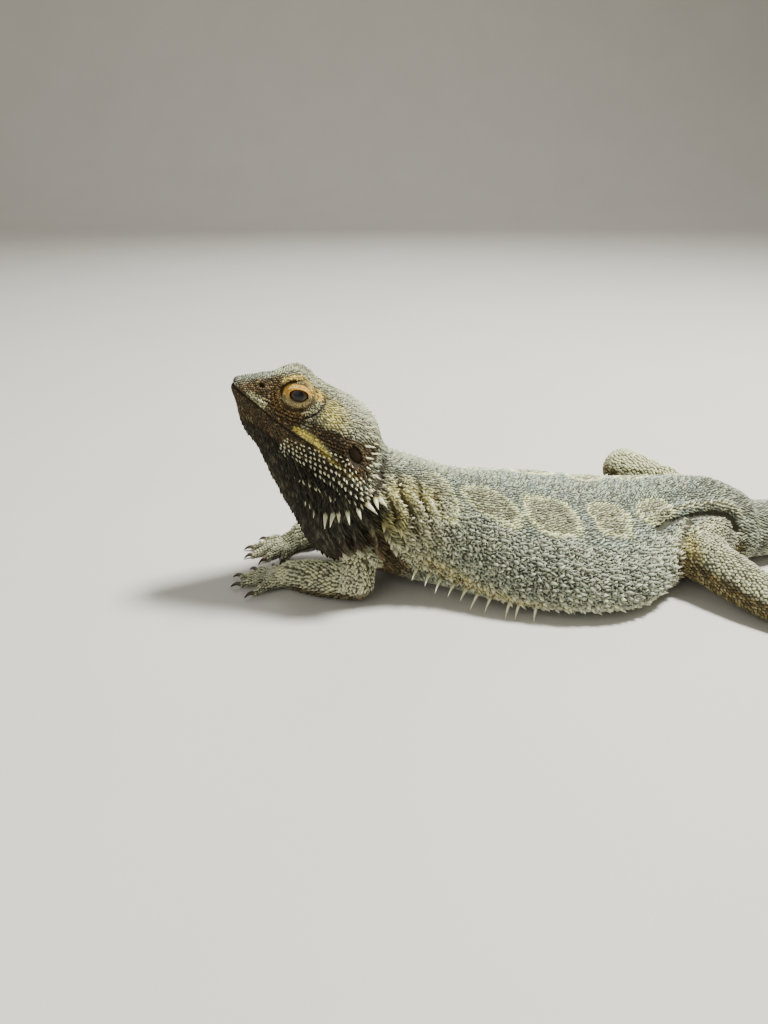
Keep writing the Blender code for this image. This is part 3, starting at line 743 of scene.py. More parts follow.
def make_skin_mesh(shape):
    """The joined tubes, smoothed, drawn together at the shoulders and hips, refined on the head and
    given its face."""
    mesh = union_of_tubes(shape.coat_depth, shape.voxel)
    edges = edges_of(mesh)
    points = relax(points_of(mesh), edges, 0.5, 8)
    for place, size, rounds in BLENDS.values():
        weight = np.exp(-np.sum((points - place) ** 2, axis=1) / size**2)[:, None]
        points = relax(points, edges, 1.0, rounds, 0.6 * weight)
    set_points(mesh, points)
    eyes = [head_point(0.0, side * 0.011, 0.0) for side in (1, -1)]
    refine(mesh, [(head_point(0.0, 0.0, -0.006), 0.034)] + [(eye, 0.0085) for eye in eyes])
    edges = edges_of(mesh)
    points = points_of(mesh)
    forward, _, _ = in_head(points)
    on_head = soft_step(forward, -0.034, -0.028)[:, None]
    points = relax(points, edges, 0.5, 10, on_head)
    set_points(mesh, points)
    points += normals_of(mesh) * (face_relief(points) + neck_relief(points))[:, None]
    points = shape_ears(shape_eyelids(points))
    points[:, 2] = np.maximum(points[:, 2], FLOOR_GAP)
    set_points(mesh, points)
    mesh.shade_smooth()
    return mesh


def centred(points):
    """Points of the measures' frame in the solids' frame, whose box is centred."""
    return points - CENTRE


# --- where a point is on the animal ---
def on_body(points):
    """For each point the nearest section of the body's tube: its station, the share of the half width
    to the left, the share of the height above or depth below, and the angle from the side up."""
    t = np.linspace(0, TAIL_TIP, 420)
    rows = smooth(BODY_ROWS, t)
    _, left, up = section_axes(rows)
    centres = rows[:, :3]
    nearest = np.empty(len(points), int)
    for start in range(0, len(points), 40000):
        block = points[start : start + 40000]
        away = np.sum(centres**2, axis=1)[None] - 2 * block @ centres.T
        nearest[start : start + 40000] = np.argmin(away, axis=1)
    away = points - centres[nearest]
    across = np.sum(away * left[nearest], axis=1) / rows[nearest, 4]
    height = np.sum(away * up[nearest], axis=1)
    height = height / np.where(height > 0, rows[nearest, 5], rows[nearest, 6])
    return t[nearest], across, height, np.degrees(np.arctan2(height, np.abs(across)))


def on_limbs(points):
    """The nearest length of a leg: how many of its radii away the point is, the length's number (two to
    a leg), the place along it, and how far the point's side of it faces up."""
    found = np.full(len(points), np.inf)
    number, along, facing = (np.zeros(len(points)) for _ in range(3))
    lengths = [
        (*ends, radii)
        for leg, (root, bend, end, _) in LEGS.items()
        for ends, radii in zip(((root, bend), (bend, end)), LEG_RADII[leg.split("_")[0]])
    ]
    for k, (start, end, radii) in enumerate(lengths):
        start, end = np.array(start), np.array(end)
        way = end - start
        share = np.clip((points - start) @ way / (way @ way), 0, 1)
        away = points - start - share[:, None] * way
        distance = np.linalg.norm(away, axis=1)
        ratio = distance / smooth(np.array(radii)[:, None], share * (len(radii) - 1))[:, 0]
        closer = ratio < found
        found[closer] = ratio[closer]
        number[closer] = k
        along[closer] = share[closer]
        facing[closer] = (away[:, 2] / np.maximum(distance, 1e-9))[closer]
    return found, number, along, facing


def on_feet(points):
    """1 on the hands, feet and toes: near the line from an ankle to the longest toe's tip, near the floor."""
    found = np.zeros(len(points))
    for leg, (*_, ankle, heading) in LEGS.items():
        kind = leg.split("_")[0]
        reach = PALM_LENGTH[kind] + max(TOE_LENGTHS[kind])
        away = points[:, :2] - np.array(ankle)[:2]
        along = away @ level_way(heading)[:2]
        inside = (along > -0.002) & (along < reach + 0.004) & (np.linalg.norm(away, axis=1) < reach + 0.004)
        side = np.abs(away @ level_way(heading + math.pi / 2)[:2]) < 0.019
        found[inside & side & (points[:, 2] < 0.0125)] = 1.0
    return found


def ripple(points, size):
    """A smooth wander between -1 and 1, of about the given size: the mean of three sines of the place."""
    x, y, z = (points / size).T * 2 * math.pi
    waves = np.sin(x + 1.7 * np.sin(y * 0.6)), np.sin(y * 1.3 + 2 * np.sin(z * 0.7)), np.sin(z + x * 0.5)
    return sum(waves) / 3


def lay(masks, name, *layers):
    """Raises a mask to the greatest of itself and the layers."""
    masks[name] = np.maximum.reduce([masks[name], *layers])


def fade(masks, names, cover):
    """Lowers masks where something covers them, to nothing where the cover is 1."""
    for name in names:
        masks[name] = masks[name] * (1 - cover)


# --- markings, with painted shade in creases and holes and painted highlights on the legs ---
LAYERS = ("cool", "slate", "warm", "yellow", "pale", "orange", "belly", "edge", "black")  # each over the last
OVALS = (  # outlined patches on each side: x, degrees up from the side, half length, half height in degrees
    (-0.0411, 48, 0.0068, 21),
    (-0.0206, 56, 0.0103, 13),
    (0.0037, 60, 0.0099, 14),
    (0.0275, 62, 0.0076, 13),
    (0.0480, 60, 0.0068, 12),
)
WEDGE = (  # the dark patch from the eye's rear corner to the ear: forward, its upper and its lower edge
    (-0.0320, -0.0260, -0.0180, -0.0110, -0.0065),
    (-0.0012, -0.0016, -0.0028, -0.0046, -0.0055),
    (-0.0140, -0.0128, -0.0102, -0.0090, -0.0086),
)
CHEEK = (  # the bright stripe along the rear of the mouth: forward, above, half its width
    (-0.0323, -0.0263, -0.0210, -0.0156, -0.0105, -0.0039),
    (-0.0128, -0.0133, -0.0128, -0.0114, -0.0104, -0.0110),
    (0.0003, 0.0004, 0.0009, 0.0016, 0.0018, 0.0010),
)
LIP = (  # the pale stripe on the upper lip, which widens to its rear: forward, above, half its width
    (0.0092, 0.0112, 0.0140, 0.0178, 0.0214, 0.0236),
    (-0.0113, -0.0104, -0.0105, -0.0102, -0.0089, -0.0064),
    (0.0012, 0.0015, 0.0010, 0.0007, 0.0006, 0.0005),
)
STRIPE_END = 0.0012  # a stripe fades out over this much at each end


def stripe(forward, above, line):
    """exp(-((above - the line) / half width)²), and 0 beyond the line's ends."""
    places, heights, widths = line
    inside = soft_step(forward, places[0] - STRIPE_END, places[0])
    inside = inside * soft_step(-forward, -places[-1] - STRIPE_END, -places[-1])
    return bell(above, np.interp(forward, places, heights), np.interp(forward, places, widths)) * inside


def head_share(points):
    """1 on the head, 0 on the neck and body."""
    forward, _, above = in_head(points)
    return soft_step(forward, -0.040, -0.034) * soft_step(above, -0.050, -0.044)


def head_side(points):
    """1 on the sides of the head, 0 near its middle plane."""
    return head_share(points) * soft_step(np.abs(in_head(points)[1]), 0.0060, 0.0090)


def wedge_share(points):
    """1 on the dark wedge between the eye and the ear."""
    forward, _, above = in_head(points)
    upper, lower = (np.interp(forward, WEDGE[0], edge) for edge in WEDGE[1:])
    wedge = soft_step(upper - above, -0.0005, 0.0008) * soft_step(above - lower, -0.0003, 0.0006)
    ends = soft_step(-forward, 0.0055, 0.0085) * soft_step(forward, -0.037, -0.033)
    return head_side(points) * wedge * ends


def face_markings(points, masks):
    """Brown snout and jaw, black lower cheek, grey rear of the crown, yellow behind the eye and brown
    round the ear."""
    forward, side, above = in_head(points)
    head, mouth = head_share(points), mouth_height(forward, above)
    snout = head * soft_step(forward, -0.010, -0.003) * soft_step(np.abs(side), 0.0025, 0.0060)
    jaw = head * soft_step(-mouth, -0.0005, 0.0005) * soft_step(forward, -0.034, -0.026)
    cheek = head * soft_step(np.interp(forward, CHEEK[0], CHEEK[1]) - above, 0.0012, 0.0026)
    crown = head * soft_step(-forward, 0.012, 0.022) * soft_step(above, 0.000, 0.006)
    temple = head_side(points) * bell(forward, -0.0135, 0.0060) * bell(above, 0.0005, 0.0050)
    ear = head * bell(ear_distance(points), 0.9, 0.9)
    lay(masks, "yellow", 0.14 * head * soft_step(above, -0.002, 0.002), 0.78 * temple)
    lay(masks, "warm", snout * soft_step(-above, -0.0030, 0.0010), jaw, ear)
    lay(masks, "black", jaw * (0.40 + 0.25 * ripple(points, 0.0035)))
    lay(masks, "black", 0.97 * cheek * soft_step(-forward, 0.005, 0.013))
    lay(masks, "cool", 0.8 * crown)


def hole_shade(points, masks):
    """Painted shade: black in the mouth line's groove, the nostrils and the openings of the ears."""
    forward, _, above = in_head(points)
    line = bell(mouth_height(forward, above), -0.0001, 0.0004)
    line = line * soft_step(forward, MOUTH_CORNER - 0.003, MOUTH_CORNER)
    nostril = np.hypot((forward - NOSTRIL[0]) / 0.0012, (above - NOSTRIL[1]) / 0.0009)
    head = head_share(points)
    # painted shade in the mouth groove and the nostrils, and on the next line in the ear openings
    lay(masks, "black", 0.6 * head * line, bell(nostril, 0.0, 0.8) * head_side(points))
    lay(masks, "black", 0.92 * head * (1 - soft_step(ear_distance(points), 0.95, 1.12)))


def head_markings(points, masks):
    """Masks on the head: each is a product of steps and bells of the distances forward of, above and
    sideways from the eyes. The wedge takes the place of what lies under it."""
    forward, _, above = in_head(points)
    head, side, wedge = head_share(points), head_side(points), wedge_share(points)
    face_markings(points, masks)
    lay(masks, "warm", wedge)
    lay(masks, "black", 0.40 * wedge * (1 - 0.5 * bell(ear_distance(points), 1.25, 0.2)))
    fade(masks, ("yellow", "pale", "cool"), wedge)
    lay(masks, "pale", side * stripe(forward, above, LIP))
    bright = 0.55 + 0.45 * soft_step(forward, -0.022, -0.017)
    lay(masks, "yellow", head * stripe(forward, above, CHEEK) * bright)
    eye_markings_and_shade(points, masks)
    hole_shade(points, masks)
    rearward = soft_step(-forward, 0.006, 0.020)
    lay(masks, "slate", head * soft_step(above, -0.003, 0.004) * (0.30 + 0.22 * rearward))
    tips = soft_step(-forward, 0.010, 0.016) * soft_step(above, -0.010, -0.004)
    lay(masks, "tips", 0.55 * head * tips * (1 - wedge))


def eye_markings_and_shade(points, masks):
    """Round the eyes: an orange upper and a cream lower lid, a brown crease over the lid, a bright line
    on the brow, brown folds below and a pale ridge behind; painted shade darkens the crease over the lid
    and the crease behind the folds below."""
    along, high, _, _ = eye_place(points)
    reach, side = eye_reach(along, high), head_side(points)
    upper = soft_step(high + 0.10 * along, -0.0012, 0.0010)
    over = soft_step(high - 0.45 * along, 0.0002, 0.0016)
    behind, rearward = soft_step(-along, -0.0010, 0.0025), soft_step(-along, 0.0, 0.0040)
    lids = side * (1 - soft_step(reach, LID_REACH - 0.0001, LID_REACH + 0.0004))
    upper_lid, lower_lid = lids * upper, lids * (1 - upper)
    below = side * (1 - soft_step(reach, 0.0074, 0.0088)) * (1 - over)
    folds = below * (1 - lids) * (1 - 0.7 * behind)
    brow = side * bell(reach, LID_REACH + 0.0020, 0.0009 + 0.0007 * rearward) * over
    crease = side * bell(reach, LID_REACH + 0.0006, 0.0005) * soft_step(high - 0.45 * along, -0.0010, 0.0006)
    ridge = side * bell(reach, LID_REACH + 0.0022, 0.0008) * (1 - over) * behind
    socket = side * bell(reach, LID_REACH + 0.0036, 0.0006) * (1 - upper) * behind
    fade(masks, ("pale", "yellow", "black"), below)
    fade(masks, ("pale", "yellow", "black", "warm"), lids)
    lay(masks, "warm", folds, crease)
    fade(masks, ("pale", "black", "warm"), brow)
    lay(masks, "warm", 0.30 * lower_lid)
    lay(masks, "orange", 0.80 * upper_lid, 0.35 * lower_lid, 0.50 * brow, 0.07 * folds + 0.20 * crease)
    lay(masks, "yellow", 0.6 * upper_lid, brow)
    lay(masks, "pale", 0.75 * lower_lid, 0.8 * ridge)
    # painted shade: black in the crease over the lid and in the crease behind the folds below the eye
    lay(masks, "black", 0.75 * crease * (1 - 0.6 * rearward), 0.75 * socket)


def oval_ring(points, angle, wander):
    """For each point 1 on the outline of the nearest oval, less inside it: a superellipse of the power
    2.4 that leans back towards its foot."""
    found = np.full(len(points), np.inf)
    for middle, lift, length, height in OVALS:
        rise = (angle - lift) / height
        cell = (points[:, 0] - middle + 0.0022 * rise) / length
        ring = (np.abs(cell) ** 2.4 + np.abs(rise) ** 2.4) ** (1 / 2.4)
        found = np.minimum(found, ring + 0.10 * wander)
    return found


def back_markings(points, station, angle, masks):
    """The trunk: cool grey along the back and plain grey on the flanks, and on each side a row of ovals
    with a pale outline."""
    wander, fine = ripple(points, 0.017), ripple(points, 0.0045)
    trunk = plateau(station, 7.6, 8.2, 13.2, 14.2)
    ring = oval_ring(points, angle, wander)
    inside = trunk * (1 - soft_step(ring, 0.85, 1.05))
    flank = trunk * soft_step(-angle - 4 * wander, -46, -38) * (0.90 + 0.3 * wander) * (1 - inside)
    lay(masks, "cool", trunk * (1 - 0.8 * inside) * (0.75 + 0.4 * wander) * (1 - 0.6 * flank))
    lay(masks, "yellow", 0.16 * inside)
    outline = bell(ring + 0.05 * fine, 1.0, 0.13) * soft_step(station, 7.8, 8.3)
    lay(masks, "edge", outline * (1.0 + 0.45 * ripple(points, 0.0030)))


def shoulder_markings_and_shade(points, station, angle, masks):
    """The shoulder: yellow on the folds of its loose skin, and brown in the hollows between them as painted
    shade; brown under the arm, its own colour made darker there by painted shade, with a cream band over
    it; and a mottled stretch low behind it."""
    wander, fine = ripple(points, 0.017), ripple(points, 0.0045)
    shoulder = bell(station, 7.7, 0.8) * soft_step(60 - angle, 0, 20) * soft_step(angle, -22, -6)
    hollow = soft_step(-shoulder_folds(points), 0.2, 0.8)
    armpit = np.interp(station, (7.7, 8.6), (-8, -28))
    band = bell(angle, armpit, 6) * bell(station, 8.2, 0.55)
    under_arm = soft_step(armpit - angle, 3, 9) * plateau(station, 6.9, 7.3, 8.4, 9.0)
    low = bell(angle, -18, 9) * plateau(station, 8.2, 8.8, 10.0, 11.4)
    # painted shade: the yellow fades in the hollows between the folds
    lay(masks, "yellow", shoulder * (0.42 + 0.35 * wander) * (1 - 0.75 * hollow))
    lay(masks, "yellow", 0.5 * low * (0.8 + 0.6 * fine))
    # painted shade: brown in the hollows between the folds; under the arm the brown is partly its own colour
    lay(masks, "warm", 0.9 * shoulder * hollow, under_arm, 0.7 * low * (0.5 - fine))
    lay(masks, "pale", 0.8 * band)
    # painted shade: black under the arm
    lay(masks, "black", 0.30 * under_arm)


def under_markings(points, station, height, masks):
    """A pale belly, less so under the tail, and a black throat and beard."""
    under = soft_step(-height, 0.55, 0.85) * soft_step(station, 8.6, 9.6)
    lay(masks, "belly", under * (1 - 0.4 * soft_step(station, 14, 18)))
    forward, _, above = in_head(points)
    depth = -mouth_height(forward, above) - 0.003 * soft_step(forward, 0.0, 0.02)
    lay(masks, "black", soft_step(depth, 0.0035, 0.0075) * (1 - soft_step(station, 7.0, 8.2)))


def crease_shade_and_markings(points, masks):
    """Painted shade: black in the creases at the thighs and behind the head. Markings: a cream rim along
    those at the thighs, and brown on the front edge of the thigh."""
    hip, hip_way = from_crease(points, HIP_CREASE)
    thigh, thigh_way = from_crease(points, THIGH_CREASE)
    # painted shade: black in the creases at the hips and at the front of the thighs
    lay(masks, "black", 0.9 * bell(hip, 0.0, 0.0026), 0.9 * bell(thigh, 0.0, 0.0011))
    # painted shade: black in the crease behind the head
    lay(masks, "black", 0.8 * nape_crease(points))
    lay(masks, "pale", 0.7 * bell(hip, 0.0042, 0.0014) * (hip_way[:, 2] > 0.001))
    lay(masks, "pale", 0.9 * bell(thigh, 0.0026, 0.0009) * (thigh_way[:, 0] < 0))
    behind = soft_step(thigh_way[:, 0], 0.0, 0.001) * soft_step(0.023 - points[:, 2], 0, 0.004)
    lay(masks, "warm", behind * bell(thigh, 0.0, 0.006))


def tail_markings(station, masks):
    """The tail: pale bands, and browner to its rear."""
    wave = np.sin((station - 15.5) * 2 * math.pi / TAIL_BAND)
    bands = soft_step(station, 15.5, 17.0) * soft_step(wave, 0.1, 0.8)
    lay(masks, "pale", 0.55 * bands * (1 - masks["belly"]))
    lay(masks, "warm", 0.25 * soft_step(station, 16, 19))


def leg_markings_and_painted_light(points, masks):
    """The legs: cream on top, lighter still where they face up as a painted highlight, and brown
    underneath, partly their own colour and partly painted shade; a grey rear and a yellow and brown
    front of the thigh, a pale ridge along the shin, a painted highlight in the edge colour on the upper
    side of the far hind leg, and plain feet."""
    ratio, number, along, facing = on_limbs(points)
    foot = on_feet(points)
    limb = np.maximum(1 - soft_step(ratio, 1.05, 1.35), foot)
    rear, far, shin = number >= 4, number >= 6, number % 2 == 1  # in the order of LEGS
    under = np.where(rear, soft_step(-facing, -0.42, -0.12), soft_step(-facing, 0.05, 0.45))
    top = soft_step(facing, 0.55, 0.95)
    ridge = limb * rear * shin * bell(facing, 0.50, 0.12) * soft_step(along, 0.10, 0.20)
    behind = limb * rear * ~shin * soft_step(points[:, 0], 0.0735, 0.0790)
    front = limb * rear * ~far * soft_step(0.0655 - points[:, 0], 0.0, 0.0040)
    fade(masks, tuple(masks), limb)
    # brown underneath: partly the legs' own colour, partly painted shade
    masks["warm"] += limb * (0.12 + 0.70 * under)
    masks["yellow"] += limb * rear * 0.08 * under
    lay(masks, "warm", 0.60 * front)
    lay(masks, "yellow", 0.34 * front * (1 - under))
    masks["slate"] += 0.75 * behind
    # painted highlight: the 0.40 · top term lightens the parts of the leg that face up
    light = np.where(rear, 0.48, 0.66) + 0.3 * ripple(points, 0.012) + 0.40 * top
    masks["pale"] += limb * (1 - under) * light * (1 - 0.8 * behind) * (1 - 0.8 * front)
    lay(masks, "pale", 0.7 * ridge)
    # painted highlight: the upper side of the far hind leg takes the pale edge colour
    lay(masks, "edge", 0.60 * limb * far * soft_step(facing, 0.1, 0.7))
    lay(masks, "tips", 0.8 * limb * (1 - under) * (1 - front), ridge)
    masks["warm"] = np.where(foot > 0.5, 0.35, masks["warm"])


def markings(points):
    """Masks from 0 to 1 for each point: how much of each colour of the palette it takes."""
    masks = {name: np.zeros(len(points)) for name in (*LAYERS, "tips")}
    station, _, height, angle = on_body(points)
    back_markings(points, station, angle, masks)
    shoulder_markings_and_shade(points, station, angle, masks)
    under_markings(points, station, height, masks)
    crease_shade_and_markings(points, masks)
    tail_markings(station, masks)
    head_markings(points, masks)
    leg_markings_and_painted_light(points, masks)
    return {name: np.clip(mask, 0, 1) for name, mask in masks.items()}


# --- scales ---
# A scale seen from above is a pointed hexagon with a keel. Columns: along its lie, across it, out.
SCALE_POINTS = np.array(
    [
        (-0.55, 0.00, -0.20),  # front
        (-0.20, 0.46, -0.12),  # left shoulder
        (0.24, 0.36, 0.10),  # left rear
        (0.66, 0.00, 0.95),  # tip
        (0.24, -0.36, 0.10),
        (-0.20, -0.46, -0.12),
        (-0.08, 0.00, 0.60),  # top of the keel
        (0.00, 0.00, -0.70),  # root, under the skin
    ]
)
SCALE_TIP = np.array([0.0, 0.15, 0.55, 1.0, 0.55, 0.15, 0.75, 0.0])
RIM = np.arange(6)
SCALE_TOP = np.column_stack([(RIM + 1) % 6, RIM, np.full(6, 6)])
SCALE_UNDER = np.column_stack([RIM, (RIM + 1) % 6, np.full(6, 7)])
PATCH = 0.003  # size of a scale's patch on the picture that the UV layer maps
PICTURE_RIM = 0.01  # share of the picture left free along its sides


def rows_along(tube, span, pitch):
    """Places along a tube for rows that are a pitch apart."""
    t = np.linspace(*span, 900)
    steps = np.linalg.norm(np.diff(tube(t, 24), axis=0), axis=2).mean(axis=1)
    so_far = np.concatenate([[0.0], np.cumsum(steps / pitch(t[:-1]))])
    return np.interp(np.arange(int(so_far[-1]) + 1), so_far, t)


def lattice(tube, span, pitch, width, sides=192):
    """Places for scales in rows round a tube: the rows are a pitch apart along it, each row holds its
    length over the width, and every second row is shifted by half a place.
    Returns the place, the vectors to the next row and to the next place, the way out of the tube, and
    the shares along the tube and round it."""
    t_rows = rows_along(tube, span, pitch)
    rings = tube(t_rows, sides)
    rings = np.concatenate([rings, rings[:, :1]], axis=1)
    arc = np.cumsum(np.linalg.norm(np.diff(rings, axis=1), axis=2), axis=1)
    arc = np.concatenate([np.zeros((len(arc), 1)), arc], axis=1)
    number = np.maximum(np.round(arc[:, -1] / width(t_rows)), 5).astype(int)
    row = np.repeat(np.arange(len(t_rows)), number)
    share = (np.arange(len(row)) - np.repeat(np.cumsum(number) - number, number)) / number[row]
    share = (share + 0.5 * (row % 2) / number[row]) % 1.0
    # a row's places are kept just short of the next row's number
    known = np.arange(len(t_rows))[:, None] + arc / arc[:, -1:] * 0.999999
    column = np.interp(row + share * 0.999998, known.ravel(), np.tile(np.arange(sides + 1), len(t_rows)))
    k = np.minimum(column.astype(int), sides - 1)
    u = (column - k)[:, None]

    def on_rings(grid):
        return grid[row, k] * (1 - u) + grid[row, k + 1] * u

    return {
        "place": on_rings(rings),
        "lie": on_rings(np.gradient(rings, axis=0)),
        "around": unit(rings[row, k + 1] - rings[row, k]) * (arc[row, -1] / number[row])[:, None],
        "out": on_rings(rings - rings.mean(axis=1, keepdims=True)),
        "t": t_rows[row],
        "along": row / len(t_rows),
        "share": share,
    }


def chosen(sites, keep):
    """The sites where keep is true."""
    return {name: values[keep] for name, values in sites.items()}


def on_skin(points, skin):
    """The nearest places on the skin, for points in the measures' frame."""
    mesh = bpy.data.meshes.new("cloud")
    mesh.vertices.add(len(points))
    set_points(mesh, centred(points))
    cloud = new_piece("cloud", mesh)
    wrap = cloud.modifiers.new("wrap", "SHRINKWRAP")
    wrap.target = skin
    wrap.wrap_method = "NEAREST_SURFACEPOINT"
    moved = evaluated_mesh(cloud, "cloud")
    result = points_of(moved) + CENTRE
    bpy.data.meshes.remove(moved)
    return result


def settle(sites, skin, most=0.0030):
    """Moves the places onto the skin and turns their axes to lie along it, each by its own turn where
    it has one. Places that are far from the skin, where another tube covers them, are left out."""
    near = 0.5
    first = on_skin(sites["place"], skin)
    rear = on_skin(sites["place"] + sites["lie"] * near, skin)
    beside = on_skin(sites["place"] + sites["around"] * near, skin)
    lie = unit(rear - first)
    normal = np.cross(lie, beside - first)
    normal = unit(normal) * np.sign(np.sum(normal * sites["out"], axis=1))[:, None]
    turn = np.asarray(sites.get("turn", np.zeros(len(lie))))[:, None]
    lie = lie * np.cos(turn) + np.cross(normal, lie) * np.sin(turn)
    moved = np.linalg.norm(first - sites["place"], axis=1)
    length = np.linalg.norm(rear - first, axis=1) / np.linalg.norm(sites["lie"] * near, axis=1)
    keep = (moved < most) & (length > 0.30) & (length < 2.8) & np.isfinite(normal).all(axis=1)
    sites = chosen(sites, keep)
    sites["root"], sites["back"], sites["normal"] = first[keep], lie[keep], normal[keep]
    return sites


def joined(groups):
    """One set of sites from a list of them."""
    return {name: np.concatenate([group[name] for group in groups]) for name in groups[0]}


def jittered(sites, chance, most, share=1.0):
    """Moves each place at random by up to a share of the way to the next row and the next place."""
    by_row, by_place = chance.uniform(-most, most, (2, len(sites["t"]), 1))
    sites["place"] = sites["place"] + share * (sites["lie"] * by_row + sites["around"] * by_place)


def map_picture(mesh, sites, faces):
    """Gives each scale a patch of the UV layer's picture, at its shares round the tube and along it."""
    uv = PICTURE_RIM + (1 - 2 * PICTURE_RIM) * np.stack([sites["share"], sites["along"]], axis=-1)
    uv = uv[:, None] + SCALE_POINTS[None, :, [1, 0]] * PATCH
    layer = mesh.uv_layers.new(name="OFBake")
    layer.data.foreach_set("uv", uv.reshape(-1, 2)[faces.ravel()].astype(np.float32).ravel())


def make_scales(name, sites, material):
    """One mesh of all the scales at the settled sites: the scale's points times its length, width and
    height, on the axes of its site. The faces under the scales come first, then those on top."""
    count = len(sites["root"])
    across = np.cross(sites["normal"], sites["back"])
    local = SCALE_POINTS[None] * sites["size"][:, None]
    points = sites["root"][:, None] + local[..., :1] * sites["back"][:, None]
    points = points + local[..., 1:2] * across[:, None] + local[..., 2:] * sites["normal"][:, None]
    points[..., 2] = np.maximum(points[..., 2], 0.0001)
    offset = np.arange(count)[:, None, None] * len(SCALE_POINTS)
    faces = np.concatenate([(f[None] + offset).reshape(-1, 3) for f in (SCALE_UNDER, SCALE_TOP)])
    mesh = new_mesh(name, centred(points.reshape(-1, 3)), faces)
    map_picture(mesh, sites, faces)
    store(mesh, "tip", np.tile(SCALE_TIP, count))
    masks = markings(sites["root"])
    # the edge mask lightens the scales: the ovals' pale outlines, and a painted highlight on the far hind
    # leg's upper side
    masks["tone"] = np.maximum(sites["tone"], 0.9 * masks["edge"])
    lay(masks, "tips", sites.get("raised", np.zeros(count)))
    for mask, values in masks.items():
        store(mesh, mask, np.repeat(values, len(SCALE_POINTS)))
    return new_piece(name, mesh, material)


# Station of the body: distance between rows, between scales in a row, and how far their tips stand out.
BODY_COAT = np.array(
    [
        (0, 0.00080, 0.00085, 0.00024),
        (2, 0.00080, 0.00090, 0.00030),
        (4, 0.00095, 0.00100, 0.00046),
        (6, 0.00115, 0.00115, 0.00068),
        (7, 0.00120, 0.00120, 0.00078),
        (9, 0.00130, 0.00125, 0.00078),
        (12, 0.00135, 0.00130, 0.00078),
        (15, 0.00145, 0.00140, 0.00078),
        (19, 0.00165, 0.00130, 0.00070),
        (TAIL_TIP, 0.00110, 0.00080, 0.00025),
    ]
)
COAT_PIECES = {  # stations from and to
    "head": (0.0, 7.5),
    "fore": (7.5, 10.6),
    "hind": (10.6, 15.2),
    "tail": (15.2, TAIL_TIP),
}
# Distances between rows and between scales in a row; how far their tips stand out; unevenness.
LIMB_COATS = {"front": (0.0015, 0.0017, 0.00066, 0.20), "rear": (0.0013, 0.0015, 0.00066, 0.20)}
FOOT_COAT = (0.0012, 0.0013, 0.00045, 0.06)


def body_coat(column):
    """A column of the body's coat, as a function of the station."""
    return partial(np.interp, xp=BODY_COAT[:, 0], fp=BODY_COAT[:, column])


def steady(value):
    """The same value at every place along a tube."""
    return lambda t: np.full(np.shape(t), value)


def scale_sizes(sites, heights, overlap):
    """Each scale's length, width and height, from the distances to the next row and the next place."""
    length = np.linalg.norm(sites["lie"], axis=1) * overlap[0]
    width = np.linalg.norm(sites["around"], axis=1) * overlap[1]
    return np.column_stack([np.clip(length, 0.0004, 0.0026), width, heights])


def calm_of(station):
    """0 where the scales stand irregularly, on the head and trunk, and 1 on the even tail."""
    return soft_step(station, 14, 16)


def bare_places(points):
    """Where the body's rows leave room for a leg, for the rings round the eyes and for the openings of
    the ears, and where the skin is folded."""
    along, high, out, _ = eye_place(points)
    at_eye = (eye_reach(along, high) < 0.0052) & (out > -0.004)
    at_ear = ear_distance(points) < 1.04
    folded = from_crease(points, THIGH_CREASE)[0] < 0.0013
    return (on_limbs(points)[0] < 0.98) | at_eye | at_ear | folded


def throat_share(points, station):
    """1 under the head, from the lower cheek to the breast."""
    forward, _, above = in_head(points)
    return soft_step(-mouth_height(forward, above), 0.006, 0.010) * (1 - soft_step(station, 7.6, 8.4))


def vary_body_scales(sites, chance):
    """Changes each scale's length, width and height by where it is: long on the throat, high on the
    temples, low on the lips and the belly, fine along the back; then each at random, but on the tail."""
    station, _, height, angle = on_body(sites["place"])
    forward, _, above = in_head(sites["place"])
    throat = throat_share(sites["place"], station)
    long = throat * chance.uniform(0.4, 1.5, len(station))
    temple = bell(forward, -0.018, 0.010) * soft_step(above, -0.004, 0.002) * (station < 7)
    lips = (np.abs(mouth_height(forward, above)) < 0.0024) & (forward > MOUTH_CORNER) & (station < 6)
    belly = soft_step(-height, 0.60, 0.85) * soft_step(station, 8.4, 9.4)
    back = soft_step(angle, 62, 72) * plateau(station, 8, 9, 14, 15)
    sites["size"][lips] *= (1.0, 1.0, 0.45)
    for where, change in (
        (long, (1.20, -0.30, 2.6)),
        (temple, (0.0, 0.0, 0.35)),
        (belly, (0.0, 0.0, -0.75)),
        (back, (-0.25, -0.2, 0.0)),
    ):
        sites["size"] *= 1 + where[:, None] * np.array(change)
    wild = (1 - calm_of(sites["t"])) * (1 - 0.8 * throat) * (1 - belly)
    sites["size"] *= chance.uniform(0.75, 1.25, (len(station), 1)) ** wild[:, None]
    sites["turn"] = wild * chance.normal(0, 0.45, len(station))


def body_sites(skin, chance):
    """Scales of the head, trunk and tail, in rows that are uneven but on the tail."""
    sites = lattice(body_rings, (0.35, TAIL_TIP - 0.02), body_coat(1), body_coat(2))
    jittered(sites, chance, 0.22, 1 - 0.8 * calm_of(sites["t"])[:, None])
    sites = chosen(sites, ~bare_places(sites["place"]))
    sites["size"] = scale_sizes(sites, body_coat(3)(sites["t"]), (1.22, 0.98))
    sites["tone"] = chance.uniform(0, 1, len(sites["t"]))
    vary_body_scales(sites, chance)
    return settle(sites, skin)


